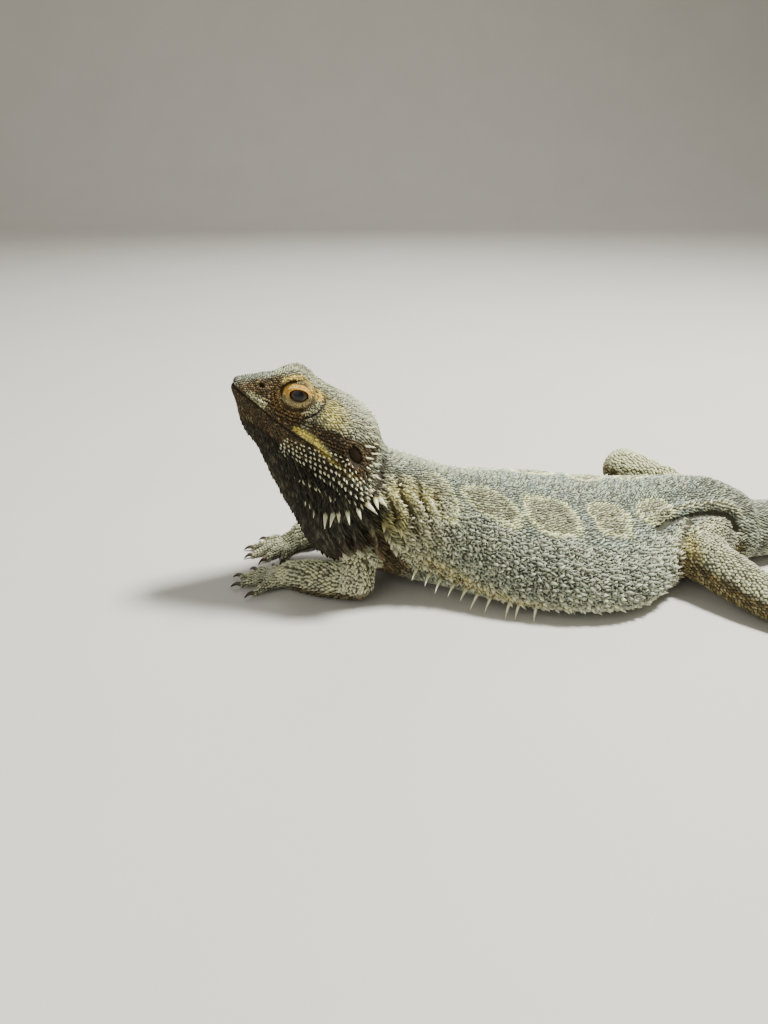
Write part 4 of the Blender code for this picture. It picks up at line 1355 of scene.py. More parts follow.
def cone_sites(skin, chance):
    """Large cones of the flanks, in a wide and uneven lattice."""
    sites = lattice(body_rings, (7.7, 13.8), steady(0.0029), steady(0.0030))
    jittered(sites, chance, 0.27)
    station, _, _, angle = on_body(sites["place"])
    flank = soft_step(48 - angle, 0, 14) * soft_step(angle, -34, -24) * plateau(station, 7.7, 8.3, 12.8, 13.8)
    flank *= on_limbs(sites["place"])[0] > 1.15
    sites = chosen(sites, chance.uniform(0, 1, len(station)) < flank)
    count = len(sites["t"])
    sites["size"] = chance.uniform(0.75, 1.2, (count, 1)) * (0.0024, 0.0019, 0.0021)
    sites["tone"], sites["raised"] = chance.uniform(0.2, 0.7, count), np.full(count, 1.0)
    sites["turn"] = chance.normal(0, 0.4, count)
    return settle(sites, skin)


def rosette_sites(skin, chance):
    """Rosettes of the flanks: large cones, each with six small scales that lean out from it."""
    cones = cone_sites(skin, chance)
    cones["place"] = cones["root"]
    across = np.cross(cones["normal"], cones["back"])
    groups = [cones]
    for turn in np.arange(6) * math.pi / 3:
        way = cones["back"] * math.cos(turn) + across * math.sin(turn)
        small = dict(cones)
        small["place"] = cones["root"] + chance.uniform(0.0011, 0.0014, (len(way), 1)) * way
        small["lie"], small["around"] = 0.0008 * way, 0.0008 * np.cross(cones["normal"], way)
        small["size"] = chance.uniform(0.7, 1.2, (len(way), 1)) * (0.0013, 0.0010, 0.0011)
        small["tone"] = chance.uniform(0.1, 0.9, len(way))
        small["raised"] = np.full(len(way), 0.8)
        groups.append(settle(small, skin))
    return joined(groups)


def eye_rings(sign):
    """Rings round an eye, from the edge of the opening outward: on the lids' sphere, and beyond it on
    the side of the face, which widens to the rear."""

    def tube(t, sides):
        along, up = lid_axes()
        centre = head_point(0.0, sign * EYE_SPREAD, 0.0)
        reach = (0.0024 + 0.0046 * t)[:, None]
        angles = (np.arange(sides) * 2 * math.pi / sides)[None]
        flat = (reach * np.cos(angles) * LID_STRETCH + LID_SHIFT)[..., None] * along
        flat = flat + (reach * np.sin(angles))[..., None] * up
        lids = (EYE_RADIUS + LID_THICK) ** 2 - np.sum(flat**2, axis=-1)
        face = 0.0034 - 0.22 * (flat @ along)
        out = np.maximum(np.sqrt(np.maximum(lids, 0.0)), face)
        return centre + flat + out[..., None] * sign * head_axes()[1]

    return tube


def eye_spacing(t):
    """Distance between the scales round an eye, which grows outward."""
    return 0.00046 + 0.00046 * np.asarray(t)


def eye_sites(skin, chance):
    """Small scales in rings round the eyes, but not in the opening nor in the crease over the lid."""
    groups = []
    for sign in (1, -1):
        sites = lattice(eye_rings(sign), (0.0, 1.0), eye_spacing, eye_spacing)
        along, high, _, _ = eye_place(sites["place"])
        crease = np.abs(eye_reach(along, high) - LID_REACH - 0.0006) < 0.0004
        crease &= high - 0.45 * along > -0.0002
        sites = chosen(sites, (lid_opening(along, high) > 1.12) & ~crease)
        sites["out"] = np.broadcast_to(head_axes()[1] * sign, sites["out"].shape).copy()
        sites["size"] = scale_sizes(sites, 0.00024 + 0.00036 * sites["t"], (1.15, 0.95))
        sites["tone"] = chance.uniform(0, 1, len(sites["t"]))
        sites["share"] = 0.5 * sites["share"] + (0.5 if sign > 0 else 0.0)  # half the picture each
        groups.append(settle(sites, skin, 0.0050))
    return joined(groups)


def leg_sites(names, coat, skin, chance):
    """Scales of the given tubes of the legs. Each tube has its own strip of the picture."""
    pitch, width, height, wobble = coat
    groups = []
    tubes = leg_tubes()
    for number, name in enumerate(names):
        sites = lattice(tubes[name], (0.05, 0.97), steady(pitch), steady(width), 64)
        jittered(sites, chance, wobble)
        _, across, level, _ = on_body(sites["place"])
        covered = (np.hypot(across, level) < 0.97) & (name.split("_")[0] in ("upper", "lower"))
        sites = chosen(sites, ~covered)
        count = len(sites["t"])
        sites["size"] = scale_sizes(sites, np.full(count, height), (1.22, 1.08))
        sites["size"] *= chance.uniform(0.82, 1.2, (count, 1)) ** (5 * wobble)
        sites["turn"] = chance.normal(0, 1.2 * wobble, count)
        sites["tone"] = chance.uniform(0, 1, count)
        sites["along"] = (number + sites["along"] * 0.94) / len(names)
        groups.append(settle(sites, skin, 0.0016))
    return joined(groups)


def make_body_scales(skin, chance, material):
    """The scales of the body, in one piece for each stretch of it."""
    body = body_sites(skin, chance)
    for name, (low, high) in COAT_PIECES.items():
        sites = chosen(body, (body["t"] >= low) & (body["t"] < high))
        first, last = sites["along"].min(), sites["along"].max()
        sites["along"] = (sites["along"] - first) / (last - first)
        make_scales(f"scales_{name}", sites, material)


def make_leg_scales(kind, skin, chance, material):
    """The scales of both front or both hind legs, and those of their feet."""
    legs = [leg for leg in LEGS if kind in leg]
    limbs = [f"{part}_{leg}" for leg in legs for part in ("upper", "lower")]
    feet = [f"palm_{leg}" for leg in legs] + [f"toe_{leg}_{number}" for leg in legs for number in range(5)]
    for name, tubes, coat in (("legs", limbs, LIMB_COATS[kind]), ("feet", feet, FOOT_COAT)):
        make_scales(f"scales_{kind}_{name}", leg_sites(tubes, coat, skin, chance), material)


# --- spines ---
# Stations from and to; angle up from the side from and to, for the lowest row; how many rows, how many
# degrees apart, and how many spines in each; length from and to; base radius; and how far they stand
# off: 0 lies back along the skin, 1 stands straight out, more leans forward.
SPINE_ROWS = {
    "beard": ((6.40, 7.17), (-29, 18), (1, 0, 8), (0.0072, 0.0066), 0.00115, 0.82),
    "beard_front": ((5.7, 6.25), (-42, -37), (1, 0, 3), (0.0032, 0.0042), 0.0007, 0.60),
    "jowl": ((4.40, 6.88), (-34, -2), (6, 4.0, 20), (0.0013, 0.0023), 0.00062, 0.55),
    "jowl_edge": ((5.20, 6.40), (-36, -14), (1, 0, 9), (0.0020, 0.0026), 0.00095, 0.60),
    "throat": ((3.2, 6.6), (-82, -78), (9, 5.4, 17), (0.0018, 0.0030), 0.00050, 0.42),
    "flank": ((8.50, 10.7), (-29, -19), (1, 0, 10), (0.0092, 0.0066), 0.00075, 1.15),
    "flank_rear": ((10.9, 12.6), (-15, -10), (1, 0, 8), (0.0024, 0.0012), 0.0008, 0.8),
    "flank_upper": ((8.5, 11.9), (-12, -4), (2, 8, 13), (0.0024, 0.0018), 0.0009, 0.8),
    "crown": ((5.85, 6.85), (96, 36), (4, -9, 8), (0.0022, 0.0024), 0.00050, 0.8),
    "neck": ((7.0, 8.3), (28, 10), (2, 14, 7), (0.0016, 0.0016), 0.0006, 0.7),
    "nape": ((7.0, 9.2), (66, 84), (4, 8, 12), (0.0021, 0.0018), 0.00055, 1.0),
    "back": ((9.2, 13.6), (74, 80), (3, 8, 24), (0.0016, 0.0013), 0.00055, 0.9),
}
SPINE_SIDES = 8
SPINE_RINGS = 6
SPINE_ROOT = 0.0006  # a spine starts this far under the skin
RING_STEPS = 720  # the rows' angles are found to half a degree


def spine_row(t, angle, lengths, radius, stand, black):
    """One row of spines at the given stations and angles, before it is settled on the skin."""
    fine = body_rings(t, RING_STEPS)
    pick = np.round(np.mod(angle, 2 * math.pi) / (2 * math.pi) * RING_STEPS).astype(int) % RING_STEPS
    row = np.arange(len(t))
    site = fine[row, pick]
    return {
        "place": site,
        "lie": body_rings(t + 0.05, RING_STEPS)[row, pick] - site,
        "around": fine[row, (pick + 4) % RING_STEPS] - site,
        "out": site - fine.mean(axis=1),
        "length": lengths,
        "radius": np.full(len(t), radius),
        "stand": np.full(len(t), stand),
        "black": np.full(len(t), black),
    }


def spine_sites(skin, chance):
    """Roots of the spines on both sides, with their axes, lengths and radii."""
    rows = []
    for name, (stations, angles, (tiers, apart, number), lengths, radius, stand) in SPINE_ROWS.items():
        black = 1.0 if name == "throat" else 0.0
        for tier in range(tiers):
            for mirrored in (False, True):
                share = (np.arange(number) + 0.5 * (tier % 2) + chance.uniform(-0.25, 0.25, number)) / number
                turn = np.radians(np.interp(share, (0, 1), angles) + tier * apart)
                length = np.interp(share, (0, 1), lengths) * chance.uniform(0.82, 1.15, number)
                t = np.interp(share, (0, 1), stations)
                turn = math.pi - turn if mirrored else turn
                less = 1 - 0.07 * tier if name == "jowl" else 1.0
                rows.append(spine_row(t, turn, length * less, radius * less, stand, black))
    return settle(joined(rows), skin)


def make_spines(name, sites, material):
    """Cones with a slight bend: at a share s of a spine's length its path is root + length·s·way, where
    way lies between straight out and back along the skin, and turns back a little as s grows. Its
    radius there is the base radius times (1 - s)^0.8."""
    s = np.linspace(0, 1, SPINE_RINGS)
    count = len(sites["root"])
    stand = sites["stand"][:, None, None]
    normal, back = sites["normal"][:, None], sites["back"][:, None]
    way = unit(normal * stand + back * (1 - stand) + back * (0.14 * (s - 0.5))[None, :, None])
    path = sites["root"][:, None] - SPINE_ROOT * normal
    path = path + way * (sites["length"][:, None] * s + SPINE_ROOT)[..., None]
    left = unit(np.cross(way, back + 0.001))
    up = np.cross(left, way)
    radius = sites["radius"][:, None] * np.maximum(1 - s, 0.02)[None] ** 0.8
    radius[:, 0] *= 1.25
    angle = np.arange(SPINE_SIDES) * 2 * math.pi / SPINE_SIDES
    ring = np.cos(angle)[:, None] * left[:, :, None] + np.sin(angle)[:, None] * up[:, :, None]
    rings = path[:, :, None] + ring * radius[..., None, None]
    rings[..., 2] = np.maximum(rings[..., 2], 0.0002)
    mesh = smooth_mesh(name, *tube_arrays(rings))
    store(mesh, "tip", np.tile(along_tube(s, SPINE_SIDES), count))
    per_spine = SPINE_SIDES * SPINE_RINGS + 2
    store(mesh, "black", np.repeat(sites["black"], per_spine))
    store(mesh, "yellow", np.repeat(markings(sites["root"])["yellow"], per_spine))
    return new_piece(name, mesh, material)


# --- eyes, ears, claws ---
EYE_RINGS, EYE_SIDES = 40, 64
EAR_SPREAD = 0.0195  # from the middle plane, before the eardrum is fitted to the skin
DRUM_RINGS, DRUM_SIDES = 12, 40
CLAW_RINGS, CLAW_SIDES = 14, 14


def make_eye(side, material):
    """An eyeball: a sphere whose radius grows by 3% at the cornea, which faces a little forward."""
    sign = 1 if side == "left" else -1
    ahead, left, up = head_axes()
    axis = unit(left * sign + ahead * 0.22 - up * 0.02)
    right = unit(np.cross(up, axis))
    over = np.cross(axis, right)
    angle = np.linspace(0.02, math.pi - 0.02, EYE_RINGS)
    turn = np.arange(EYE_SIDES) * 2 * math.pi / EYE_SIDES
    radius = EYE_RADIUS * (1 + 0.03 * bell(angle, 0, 0.75))
    ring = np.cos(turn)[:, None] * right + np.sin(turn)[:, None] * over
    centre = head_point(0.0, sign * EYE_SPREAD, 0.0)
    rings = centre + (radius * np.cos(angle))[:, None, None] * axis
    rings = rings + (radius * np.sin(angle))[:, None, None] * ring[None]
    mesh = smooth_mesh(f"eye_{side}_ball", *tube_arrays(rings))
    store(mesh, "from_pupil", along_tube(angle, EYE_SIDES))
    eye = new_piece(f"eye_{side}_ball", mesh, material)
    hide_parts(f"eye_{side}")


def drum_rings(sign, skin):
    """Rings of a lens in the ear opening, on the plane that fits the skin round it best. The lens's
    front bulges by 0.0005·(1 - r²), r being the share of the way from its middle to its rim."""
    ahead, left, up = head_axes()
    r = np.concatenate([np.linspace(0.02, 1, DRUM_RINGS), np.linspace(0.98, 0.02, DRUM_RINGS)])
    turn = np.arange(DRUM_SIDES) * 2 * math.pi / DRUM_SIDES
    along = EAR_RADII[1] * 0.92 * r[:, None] * np.cos(turn)
    across = EAR_RADII[0] * 0.86 * r[:, None] * np.sin(turn)
    forward = EAR_PLACE[0] - along * math.sin(EAR_LEAN) + across * math.cos(EAR_LEAN)
    above = EAR_PLACE[1] + along * math.cos(EAR_LEAN) + across * math.sin(EAR_LEAN)
    flat = EYE_CENTRE + forward[..., None] * ahead + above[..., None] * up + sign * EAR_SPREAD * left
    rim = on_skin(flat[DRUM_RINGS], skin) @ left
    plane = np.column_stack([np.ones(DRUM_SIDES), along[DRUM_RINGS], across[DRUM_RINGS]])
    level = np.linalg.lstsq(plane, rim, rcond=None)[0]
    depth = level[0] + level[1] * along + level[2] * across
    bulge = np.where(np.arange(2 * DRUM_RINGS) < DRUM_RINGS, 0.0005, -0.0003) * (1 - r**2) + 0.0002
    return flat + (depth - flat @ left + (sign * bulge)[:, None])[..., None] * left


def make_eardrum(side, skin, material):
    """A membrane in the ear opening."""
    rings = drum_rings(1 if side == "left" else -1, skin)
    mesh = smooth_mesh(f"eardrum_{side}_membrane", *tube_arrays(rings))
    drum = new_piece(f"eardrum_{side}_membrane", mesh, material)
    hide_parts(f"eardrum_{side}")


def claw_rings(leg, number):
    """A claw: ellipses on a path that rises by a sine and drops by a square, from inside the toe."""
    start, heading, length = toe_base(leg, number)
    t = np.linspace(0, 1, CLAW_RINGS)
    reach = CLAW_LENGTHS[leg.split("_")[0]] + CLAW_ROOT
    path = start + (length - CLAW_ROOT + reach * t)[:, None] * level_way(heading)
    path[:, 2] = TOE_RADII[2] + 0.0007 * np.sin(math.pi * t) - (CLAW_DROP - 0.0001) * t**2
    radius = np.interp(t, (0, 0.5, 1), CLAW_RADII) * np.where(t > 0.97, 0.6, 1.0)
    way = unit(np.gradient(path, axis=0))
    rings = round_rings(path, way, radius * 0.85, radius * 1.15, CLAW_SIDES)
    rings[..., 2] = np.maximum(rings[..., 2], 0.0001)
    return rings, t


def make_claws(material):
    """All twenty claws in one mesh."""
    parts, tips, nodes = [], [], []
    for leg in LEGS:
        for number in range(5):
            rings, t = claw_rings(leg, number)
            parts.append(tube_arrays(rings))
            tips.append(along_tube(t, CLAW_SIDES))
            nodes.append(f"claw_{leg}_{number + 1}")
    mesh = smooth_mesh("claws", *merged(parts))
    store(mesh, "tip", np.concatenate(tips))
    claws = new_piece("claws", mesh, material)
    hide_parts(*nodes)


# --- materials ---
def new_material(name):
    """A new material's node tree and its shader."""
    material = bpy.data.materials.new(f"dragon_{name}")
    material.use_nodes = True
    return material.node_tree, material.node_tree.nodes["Principled BSDF"]


def find_material(name):
    return bpy.data.materials[f"dragon_{name}"]


def fill(tree, node, inputs):
    """Gives each input of a node its value, or links it where it is given another node's socket. An
    input is called by its name or, after a _, by its number."""
    for name, value in inputs.items():
        socket = node.inputs[int(name[1:]) if name[1:].isdigit() else name]
        if isinstance(value, bpy.types.NodeSocket):
            tree.links.new(value, socket)
        else:
            socket.default_value = value


def add(tree, kind, settings=None, **inputs):
    """A new shader node of this kind, with the given settings and inputs."""
    made = tree.nodes.new(f"ShaderNode{kind}")
    for name, value in (settings or {}).items():
        setattr(made, name, value)
    fill(tree, made, inputs)
    return made


def mix(tree, factor, first, second, blend="MIX"):
    """Two colours, mixed by a factor from 0 to 1."""
    settings = {"data_type": "RGBA", "blend_type": blend}
    first, second = (c if isinstance(c, bpy.types.NodeSocket) else (*c, 1.0) for c in (first, second))
    return add(tree, "Mix", settings, _0=factor, _6=first, _7=second).outputs[2]


def maths(tree, operation, *values, clamp=False):
    inputs = {f"_{k}": value for k, value in enumerate(values)}
    settings = {"operation": operation, "use_clamp": clamp}
    return add(tree, "Math", settings, **inputs).outputs[0]


def attribute(tree, name):
    return add(tree, "Attribute", {"attribute_name": name}).outputs["Fac"]


def noise(tree, scale, detail=3.0):
    """A number between 0 and 1 that wanders with the place."""
    inputs = {"Vector": add(tree, "TexCoord").outputs["Object"], "Scale": scale, "Detail": detail}
    return add(tree, "TexNoise", Roughness=0.55, **inputs).outputs[0]


def grey_of(tree, value):
    """A grey of the given brightness."""
    return add(tree, "CombineColor", _0=value, _1=value, _2=value).outputs[0]


def ramp(tree, value, low, high):
    """0 below low, 1 above high and 3u²-2u³ between them."""
    settings = {"interpolation_type": "SMOOTHSTEP"}
    return add(tree, "MapRange", settings, _0=value, _1=low, _2=high).outputs[0]


def marking_group(palette):
    """A node group that mixes the palette by the masks stored on the mesh: Color, with its variation."""
    tree = bpy.data.node_groups.new("markings", "ShaderNodeTree")
    tree.interface.new_socket("Color", in_out="OUTPUT", socket_type="NodeSocketColor")
    colour = mix(tree, noise(tree, 160.0), palette.grey_dark, palette.grey)
    wander = maths(tree, "MULTIPLY_ADD", noise(tree, 620.0, 2.0), 0.9, 0.55)
    for name in LAYERS:
        share = maths(tree, "MULTIPLY", attribute(tree, name), wander, clamp=True)
        colour = mix(tree, share, colour, getattr(palette, name))
    out = tree.nodes.new("NodeGroupOutput")
    tree.links.new(colour, out.inputs["Color"])
    return tree


def coat_material(palette, group):
    """Scales: the markings' colour, darker at the root of each scale as painted shade where the rows
    overlap, and lighter at the tip, more so where the tips mask is set; each scale a little lighter or
    darker than the next, and some cream."""
    tree, shader = new_material("scales")
    tip, tone, tips = (attribute(tree, name) for name in ("tip", "tone", "tips"))
    dark = maths(tree, "ADD", attribute(tree, "black"), attribute(tree, "warm"), clamp=True)
    light = maths(tree, "MULTIPLY_ADD", dark, -0.85, 1.0)
    colour = add(tree, "Group", {"node_tree": group}).outputs["Color"]
    bright = maths(tree, "MULTIPLY_ADD", tone, 1.62, 0.24)
    colour = mix(tree, 1.0, colour, grey_of(tree, bright), "MULTIPLY")
    fleck = add(tree, "MapRange", _0=tone, _1=0.76, _2=1.0, _3=0.0, _4=0.7).outputs[0]
    colour = mix(tree, maths(tree, "MULTIPLY", fleck, light), colour, palette.pale)
    share = maths(tree, "MULTIPLY_ADD", tips, 0.9, 0.22)
    share = maths(tree, "MULTIPLY", share, maths(tree, "POWER", tip, 3.0))
    share = maths(tree, "MULTIPLY", share, maths(tree, "MAXIMUM", light, tips), clamp=True)
    colour = mix(tree, share, colour, palette.tips)
    # painted shade: each scale darkens towards its root, where the row in front of it overlaps it
    root = maths(tree, "SUBTRACT", 1.0, tip, clamp=True)
    colour = mix(tree, maths(tree, "MULTIPLY", root, 0.92), colour, palette.root)
    rough = maths(tree, "MULTIPLY_ADD", noise(tree, 900.0, 2.0), 0.25, 0.42)
    fill(tree, shader, {"Base Color": colour, "Roughness": rough, "Specular IOR Level": 0.15})


def skin_material(palette, group):
    """Skin between the scales: the markings' colour made much darker, partly the skin's own colour and
    partly painted shade in the gaps between the scales, but less where it is orange or yellow, with fine
    creases."""
    tree, shader = new_material("skin")
    colour = add(tree, "Group", {"node_tree": group}).outputs["Color"]
    bright = maths(tree, "MAXIMUM", attribute(tree, "orange"), attribute(tree, "yellow"))
    # painted shade: the skin in the gaps between the scales is drawn towards the dark root colour
    bare = maths(tree, "MULTIPLY_ADD", bright, 0.70, 0.13, clamp=True)
    colour = mix(tree, bare, palette.root, colour)
    place = add(tree, "TexCoord").outputs["Object"]
    cells = add(tree, "TexVoronoi", Vector=place, Scale=1900.0).outputs["Distance"]
    bump = add(tree, "Bump", {"invert": True}, Height=cells, Strength=0.5, Distance=0.0002)
    look = {"Base Color": colour, "Roughness": 0.8, "Specular IOR Level": 0.05}
    fill(tree, shader, {**look, "Normal": bump.outputs[0]})


def spine_material(palette):
    """Spines: brown or yellow at the root, then horn-coloured and cream at the tip; black on the throat."""
    tree, shader = new_material("spine")
    base = mix(tree, attribute(tree, "yellow"), palette.warm, palette.yellow)
    horn = mix(tree, noise(tree, 700.0), palette.pale, palette.tips)
    tip = maths(tree, "MULTIPLY_ADD", attribute(tree, "tip"), 3.2, -0.15, clamp=True)
    colour = mix(tree, attribute(tree, "black"), mix(tree, tip, base, horn), palette.black)
    fill(tree, shader, {"Base Color": colour, "Roughness": 0.42})


def claw_material(palette):
    """Claws: brown-black, paler and browner at the root, where the colour varies a little."""
    tree, shader = new_material("claw")
    root = mix(tree, noise(tree, 900.0), palette.claw_root, palette.claw_root_dark)
    tip = maths(tree, "MULTIPLY_ADD", attribute(tree, "tip"), 1.6, -0.3, clamp=True)
    fill(tree, shader, {"Base Color": mix(tree, tip, root, palette.claw), "Roughness": 0.3})


def eye_material(palette):
    """Eye: a black pupil, a mottled brown iris that is darker towards its edge, and a wet coat."""
    tree, shader = new_material("eye")
    angle = attribute(tree, "from_pupil")
    colour = mix(tree, noise(tree, 2600.0), palette.iris_dark, palette.iris)
    colour = mix(tree, ramp(tree, angle, 0.50, 0.72), colour, palette.iris_edge)
    colour = mix(tree, ramp(tree, angle, 0.36, 0.42), palette.pupil, colour)
    look = {"Base Color": colour, "Roughness": 0.32, "Specular IOR Level": 0.3}
    fill(tree, shader, {**look, "Coat Weight": 0.12, "Coat Roughness": 0.03})


def drum_material(palette):
    """Eardrum: a dark brown membrane with blotches, nearly matt."""
    tree, shader = new_material("eardrum")
    colour = mix(tree, noise(tree, 500.0), palette.drum_dark, palette.drum)
    fill(tree, shader, {"Base Color": colour, "Roughness": 0.7, "Specular IOR Level": 0.1})


def floor_material():
    """Floor: pale matt board with very faint mottling."""
    tree, shader = new_material("floor")
    colour = mix(tree, noise(tree, 9.0), (0.60, 0.57, 0.50), (0.66, 0.63, 0.56))
    fill(tree, shader, {"Base Color": colour, "Roughness": 0.85})


# --- stage ---
CAMERA_PLACE = np.array([-0.0620, -0.2990, 0.1620])
CAMERA_PITCH = math.radians(25)
CAMERA_LENS = 27.04
LIGHTS = {  # power, size, place, and the place that it is aimed at
    "key": (34.0, 0.20, (0.30, 0.10, 1.05), (-0.05, 0, 0.02)),
    "fill": (3.0, 1.0, (-0.85, -0.75, 0.65), (-0.1, 0, 0.03)),
    "rim": (4.0, 0.6, (-0.3, 1.0, 0.8), (0, 0, 0.03)),
}
SKY_COLOUR = (0.92, 0.92, 0.88, 1.0)
SKY_STRENGTH = 0.36
FLOOR_FRONT, FLOOR_REAR = -1.5, 1.6
FLOOR_HALF_WIDTH = 3.0
WALL_BEND = 0.6
WALL_TOP = 3.0


def make_floor():
    """A pale floor that sweeps up into a wall: a profile of two straights and a quarter circle."""
    turn = np.linspace(0, math.pi / 2, 24)
    depth = np.concatenate([[FLOOR_FRONT], FLOOR_REAR + WALL_BEND * np.sin(turn), [FLOOR_REAR + WALL_BEND]])
    height = np.concatenate([[0.0], WALL_BEND - WALL_BEND * np.cos(turn), [WALL_TOP]])
    x = np.array([-FLOOR_HALF_WIDTH, FLOOR_HALF_WIDTH])
    points = np.stack(np.broadcast_arrays(x[:, None], depth[None], height[None]), -1).reshape(-1, 3)
    n = len(depth)
    k = np.arange(n - 1)
    faces = np.stack([k, k + n, k + n + 1, k + 1], axis=1)
    floor = new_piece("floor", new_mesh("floor", points, faces))
    floor.data.shade_smooth()
    floor_material()
    floor.data.materials.append(find_material("floor"))


def make_lights():
    """Three soft lights and an even sky."""
    for name, (power, size, where, aim) in LIGHTS.items():
        light = bpy.data.lights.new(name, "AREA")
        light.energy = power
        light.size = size
        lamp = bpy.data.objects.new(name, light)
        lamp.location = where
        lamp.rotation_euler = (Vector(aim) - Vector(where)).to_track_quat("-Z", "Y").to_euler()
        bpy.context.scene.collection.objects.link(lamp)
    world = bpy.data.worlds.new("studio")
    world.use_nodes = True
    sky = world.node_tree.nodes["Background"]
    fill(world.node_tree, sky, {"Color": SKY_COLOUR, "Strength": SKY_STRENGTH})
    bpy.context.scene.world = world


def make_camera():
    """A camera at the animal's left side, looking down on it."""
    camera = bpy.data.cameras.new("camera")
    camera.lens = CAMERA_LENS
    camera.sensor_width = 36.0
    camera.clip_start = 0.01
    view = bpy.data.objects.new("camera", camera)
    view.location = centred(CAMERA_PLACE)
    view.rotation_euler = (math.pi / 2 - CAMERA_PITCH, 0.0, 0.0)
    bpy.context.scene.collection.objects.link(view)
    bpy.context.scene.camera = view


# --- settings ---
def swatch(name, description, value):
    """A colour that the palette's settings hold."""
    settings = {"name": name, "description": description, "default": value}
    return bpy.props.FloatVectorProperty(subtype="COLOR", size=3, **settings)


class DragonShape(bpy.types.PropertyGroup):
    coat_depth: bpy.props.FloatProperty(
        name="Coat depth",
        description="How far the skin lies inside the tips of the scales",
        default=0.0006,
        subtype="DISTANCE",
    )
    voxel: bpy.props.FloatProperty(
        name="Skin grid",
        description="Size of the grid that joins the tubes",
        default=0.00095,
        subtype="DISTANCE",
    )


class DragonPalette(bpy.types.PropertyGroup):
    grey: swatch("Grey", "Flanks, neck and tail", (0.49, 0.55, 0.40))
    grey_dark: swatch("Dark grey", "The darker part of the grey scales", (0.13, 0.145, 0.110))
    cool: swatch("Cool grey", "The back and the rear of the head", (0.345, 0.43, 0.345))
    slate: swatch("Slate", "Top of the head and rear of the thighs", (0.105, 0.126, 0.100))
    warm: swatch("Brown", "Face, ear and undersides of the legs", (0.13, 0.080, 0.028))
    yellow: swatch("Yellow", "Cheek stripe, shoulder and front of the thigh", (0.86, 0.71, 0.13))
    pale: swatch("Cream", "Lips, folds, bands of the tail and tops of the legs", (0.71, 0.72, 0.40))
    # Edge: the ovals' pale outlines, and a painted highlight on the upper side of the right hind leg
    edge: swatch("Edge", "Outlines of the ovals and top of the right hind leg", (0.88, 0.91, 0.47))
    orange: swatch("Orange", "Eyelids and brow", (0.84, 0.43, 0.06))
    belly: swatch("Belly", "Underside", (0.46, 0.43, 0.34))
    black: swatch("Black", "Beard and the lines of the face", (0.014, 0.012, 0.009))
    tips: swatch("Tips", "Tips of scales and spines", (0.84, 0.83, 0.60))
    # Roots: dark skin between the scales, partly its own colour and partly painted shade in the gaps
    root: swatch("Roots", "Skin between the scales", (0.037, 0.030, 0.020))
    pupil: swatch("Pupil", "Middle of the eye", (0.003, 0.003, 0.004))
    iris: swatch("Iris", "The lighter part of the iris", (0.085, 0.050, 0.022))
    iris_dark: swatch("Dark iris", "The darker part of the iris", (0.025, 0.016, 0.009))
    iris_edge: swatch("Iris edge", "Outer edge of the iris", (0.020, 0.013, 0.007))
    drum: swatch("Eardrum", "The lighter part of the eardrum", (0.036, 0.026, 0.013))
    drum_dark: swatch("Dark eardrum", "The darker part of the eardrum", (0.020, 0.014, 0.007))
    claw: swatch("Claw", "Tips of the claws", (0.012, 0.010, 0.009))
    claw_root: swatch("Claw root", "The lighter part of a claw's root", (0.16, 0.11, 0.06))
    claw_root_dark: swatch("Dark claw root", "The darker part of its root", (0.07, 0.045, 0.025))


# --- operators ---
class DRAGON_OT_materials(bpy.types.Operator):
    """Make the materials of the skin, scales, spines, claws, eyes and ears"""

    bl_idname = "dragon.materials"
    bl_label = "Materials"

    def execute(self, context):
        palette = context.scene.dragon_palette
        group = marking_group(palette)
        skin_material(palette, group)
        coat_material(palette, group)
        for make in (spine_material, claw_material, eye_material, drum_material):
            make(palette)
        return {"FINISHED"}


class DRAGON_OT_skin(bpy.types.Operator):
    """Make the skin: all tubes of the body and legs joined, with the face worked in"""

    bl_idname = "dragon.skin"
    bl_label = "Skin"

    def execute(self, context):
        mesh = make_skin_mesh(context.scene.dragon_shape)
        points = points_of(mesh)
        for mask, values in markings(points).items():
            store(mesh, mask, values)
        set_points(mesh, centred(points))
        skin = new_piece("skin", mesh, find_material("skin"))
        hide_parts(*FLESH)
        return {"FINISHED"}


class DRAGON_OT_coat(bpy.types.Operator):
    """Make the scales of the head, trunk, tail, legs and feet"""

    bl_idname = "dragon.coat"
    bl_label = "Scales"

    def execute(self, context):
        skin, material = bpy.data.objects["skin"], find_material("scales")
        chance = np.random.default_rng(SEED)
        make_body_scales(skin, chance, material)
        make_scales("scales_rosettes", rosette_sites(skin, chance), material)
        make_scales("scales_eyes", eye_sites(skin, chance), material)
        for kind in ("front", "rear"):
            make_leg_scales(kind, skin, chance, material)
        return {"FINISHED"}


class DRAGON_OT_spines(bpy.types.Operator):
    """Make the spines of the head, beard, neck, back and flanks"""

    bl_idname = "dragon.spines"
    bl_label = "Spines"

    def execute(self, context):
        sites = spine_sites(bpy.data.objects["skin"], np.random.default_rng(SEED + 1))
        make_spines("spines", sites, find_material("spine"))
        return {"FINISHED"}


class DRAGON_OT_eyes(bpy.types.Operator):
    """Make the eyeballs"""

    bl_idname = "dragon.eyes"
    bl_label = "Eyes"

    def execute(self, context):
        for side in ("left", "right"):
            make_eye(side, find_material("eye"))
        return {"FINISHED"}


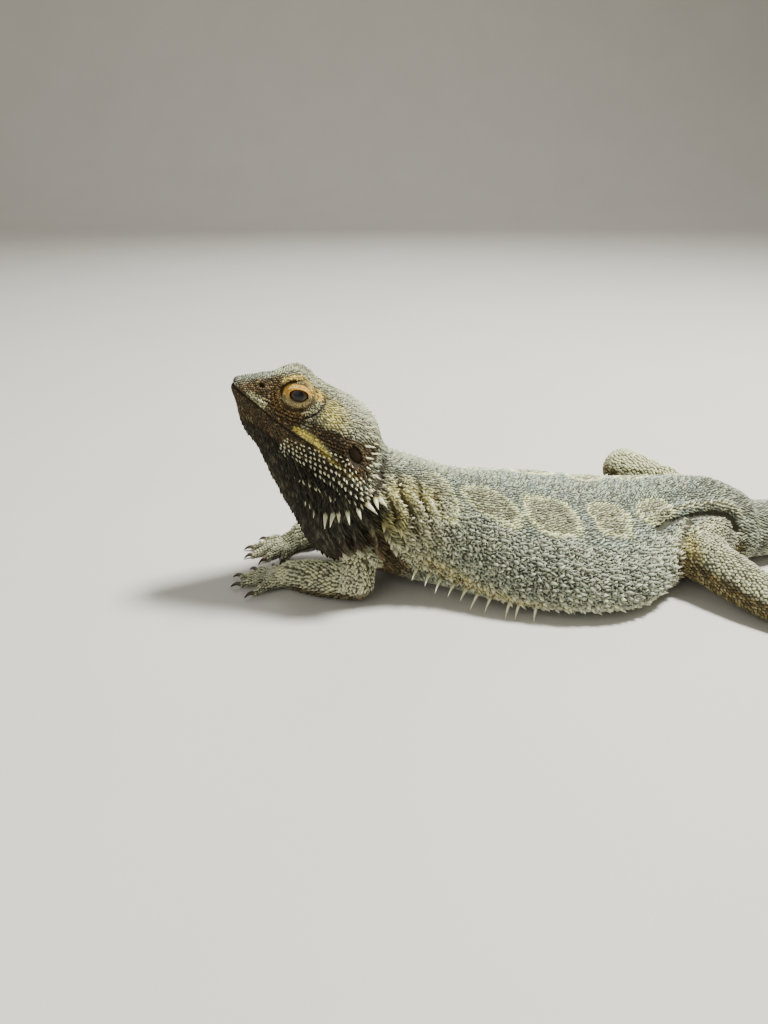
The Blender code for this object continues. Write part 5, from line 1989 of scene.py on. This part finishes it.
class DRAGON_OT_eardrums(bpy.types.Operator):
    """Make the membranes in the openings of the ears"""

    bl_idname = "dragon.eardrums"
    bl_label = "Eardrums"

    def execute(self, context):
        for side in ("left", "right"):
            make_eardrum(side, bpy.data.objects["skin"], find_material("eardrum"))
        return {"FINISHED"}


class DRAGON_OT_claws(bpy.types.Operator):
    """Make the claws"""

    bl_idname = "dragon.claws"
    bl_label = "Claws"

    def execute(self, context):
        make_claws(find_material("claw"))
        return {"FINISHED"}


class DRAGON_OT_stage(bpy.types.Operator):
    """Make the floor, the lights and the camera"""

    bl_idname = "dragon.stage"
    bl_label = "Stage"

    def execute(self, context):
        make_floor()
        make_lights()
        make_camera()
        return {"FINISHED"}


class DRAGON_PT_panel(bpy.types.Panel):
    """Lists the pieces of the animal and the stage"""

    bl_idname = "DRAGON_PT_panel"
    bl_label = "Bearded dragon"
    bl_space_type = "VIEW_3D"
    bl_region_type = "UI"
    bl_category = "Dragon"

    def draw(self, context):
        for settings in (context.scene.dragon_shape, context.scene.dragon_palette):
            for name in settings.__annotations__:
                self.layout.prop(settings, name)
        for item in PIECES:
            self.layout.operator(item.bl_idname)


PIECES = (
    DRAGON_OT_stage,
    DRAGON_OT_materials,
    DRAGON_OT_skin,
    DRAGON_OT_coat,
    DRAGON_OT_spines,
    DRAGON_OT_eyes,
    DRAGON_OT_eardrums,
    DRAGON_OT_claws,
)
CLASSES = (DragonShape, DragonPalette, *PIECES, DRAGON_PT_panel)


def register():
    for item in CLASSES:
        bpy.utils.register_class(item)
    bpy.types.Scene.dragon_shape = bpy.props.PointerProperty(type=DragonShape)
    bpy.types.Scene.dragon_palette = bpy.props.PointerProperty(type=DragonPalette)


def unregister():
    del bpy.types.Scene.dragon_shape
    del bpy.types.Scene.dragon_palette
    for item in reversed(CLASSES):
        bpy.utils.unregister_class(item)


def main():
    register()
    bpy.ops.dragon.stage()
    bpy.ops.dragon.materials()
    bpy.ops.dragon.skin()
    bpy.ops.dragon.coat()
    bpy.ops.dragon.spines()
    bpy.ops.dragon.eyes()
    bpy.ops.dragon.eardrums()
    bpy.ops.dragon.claws()


if __name__ == "__main__":
    main()
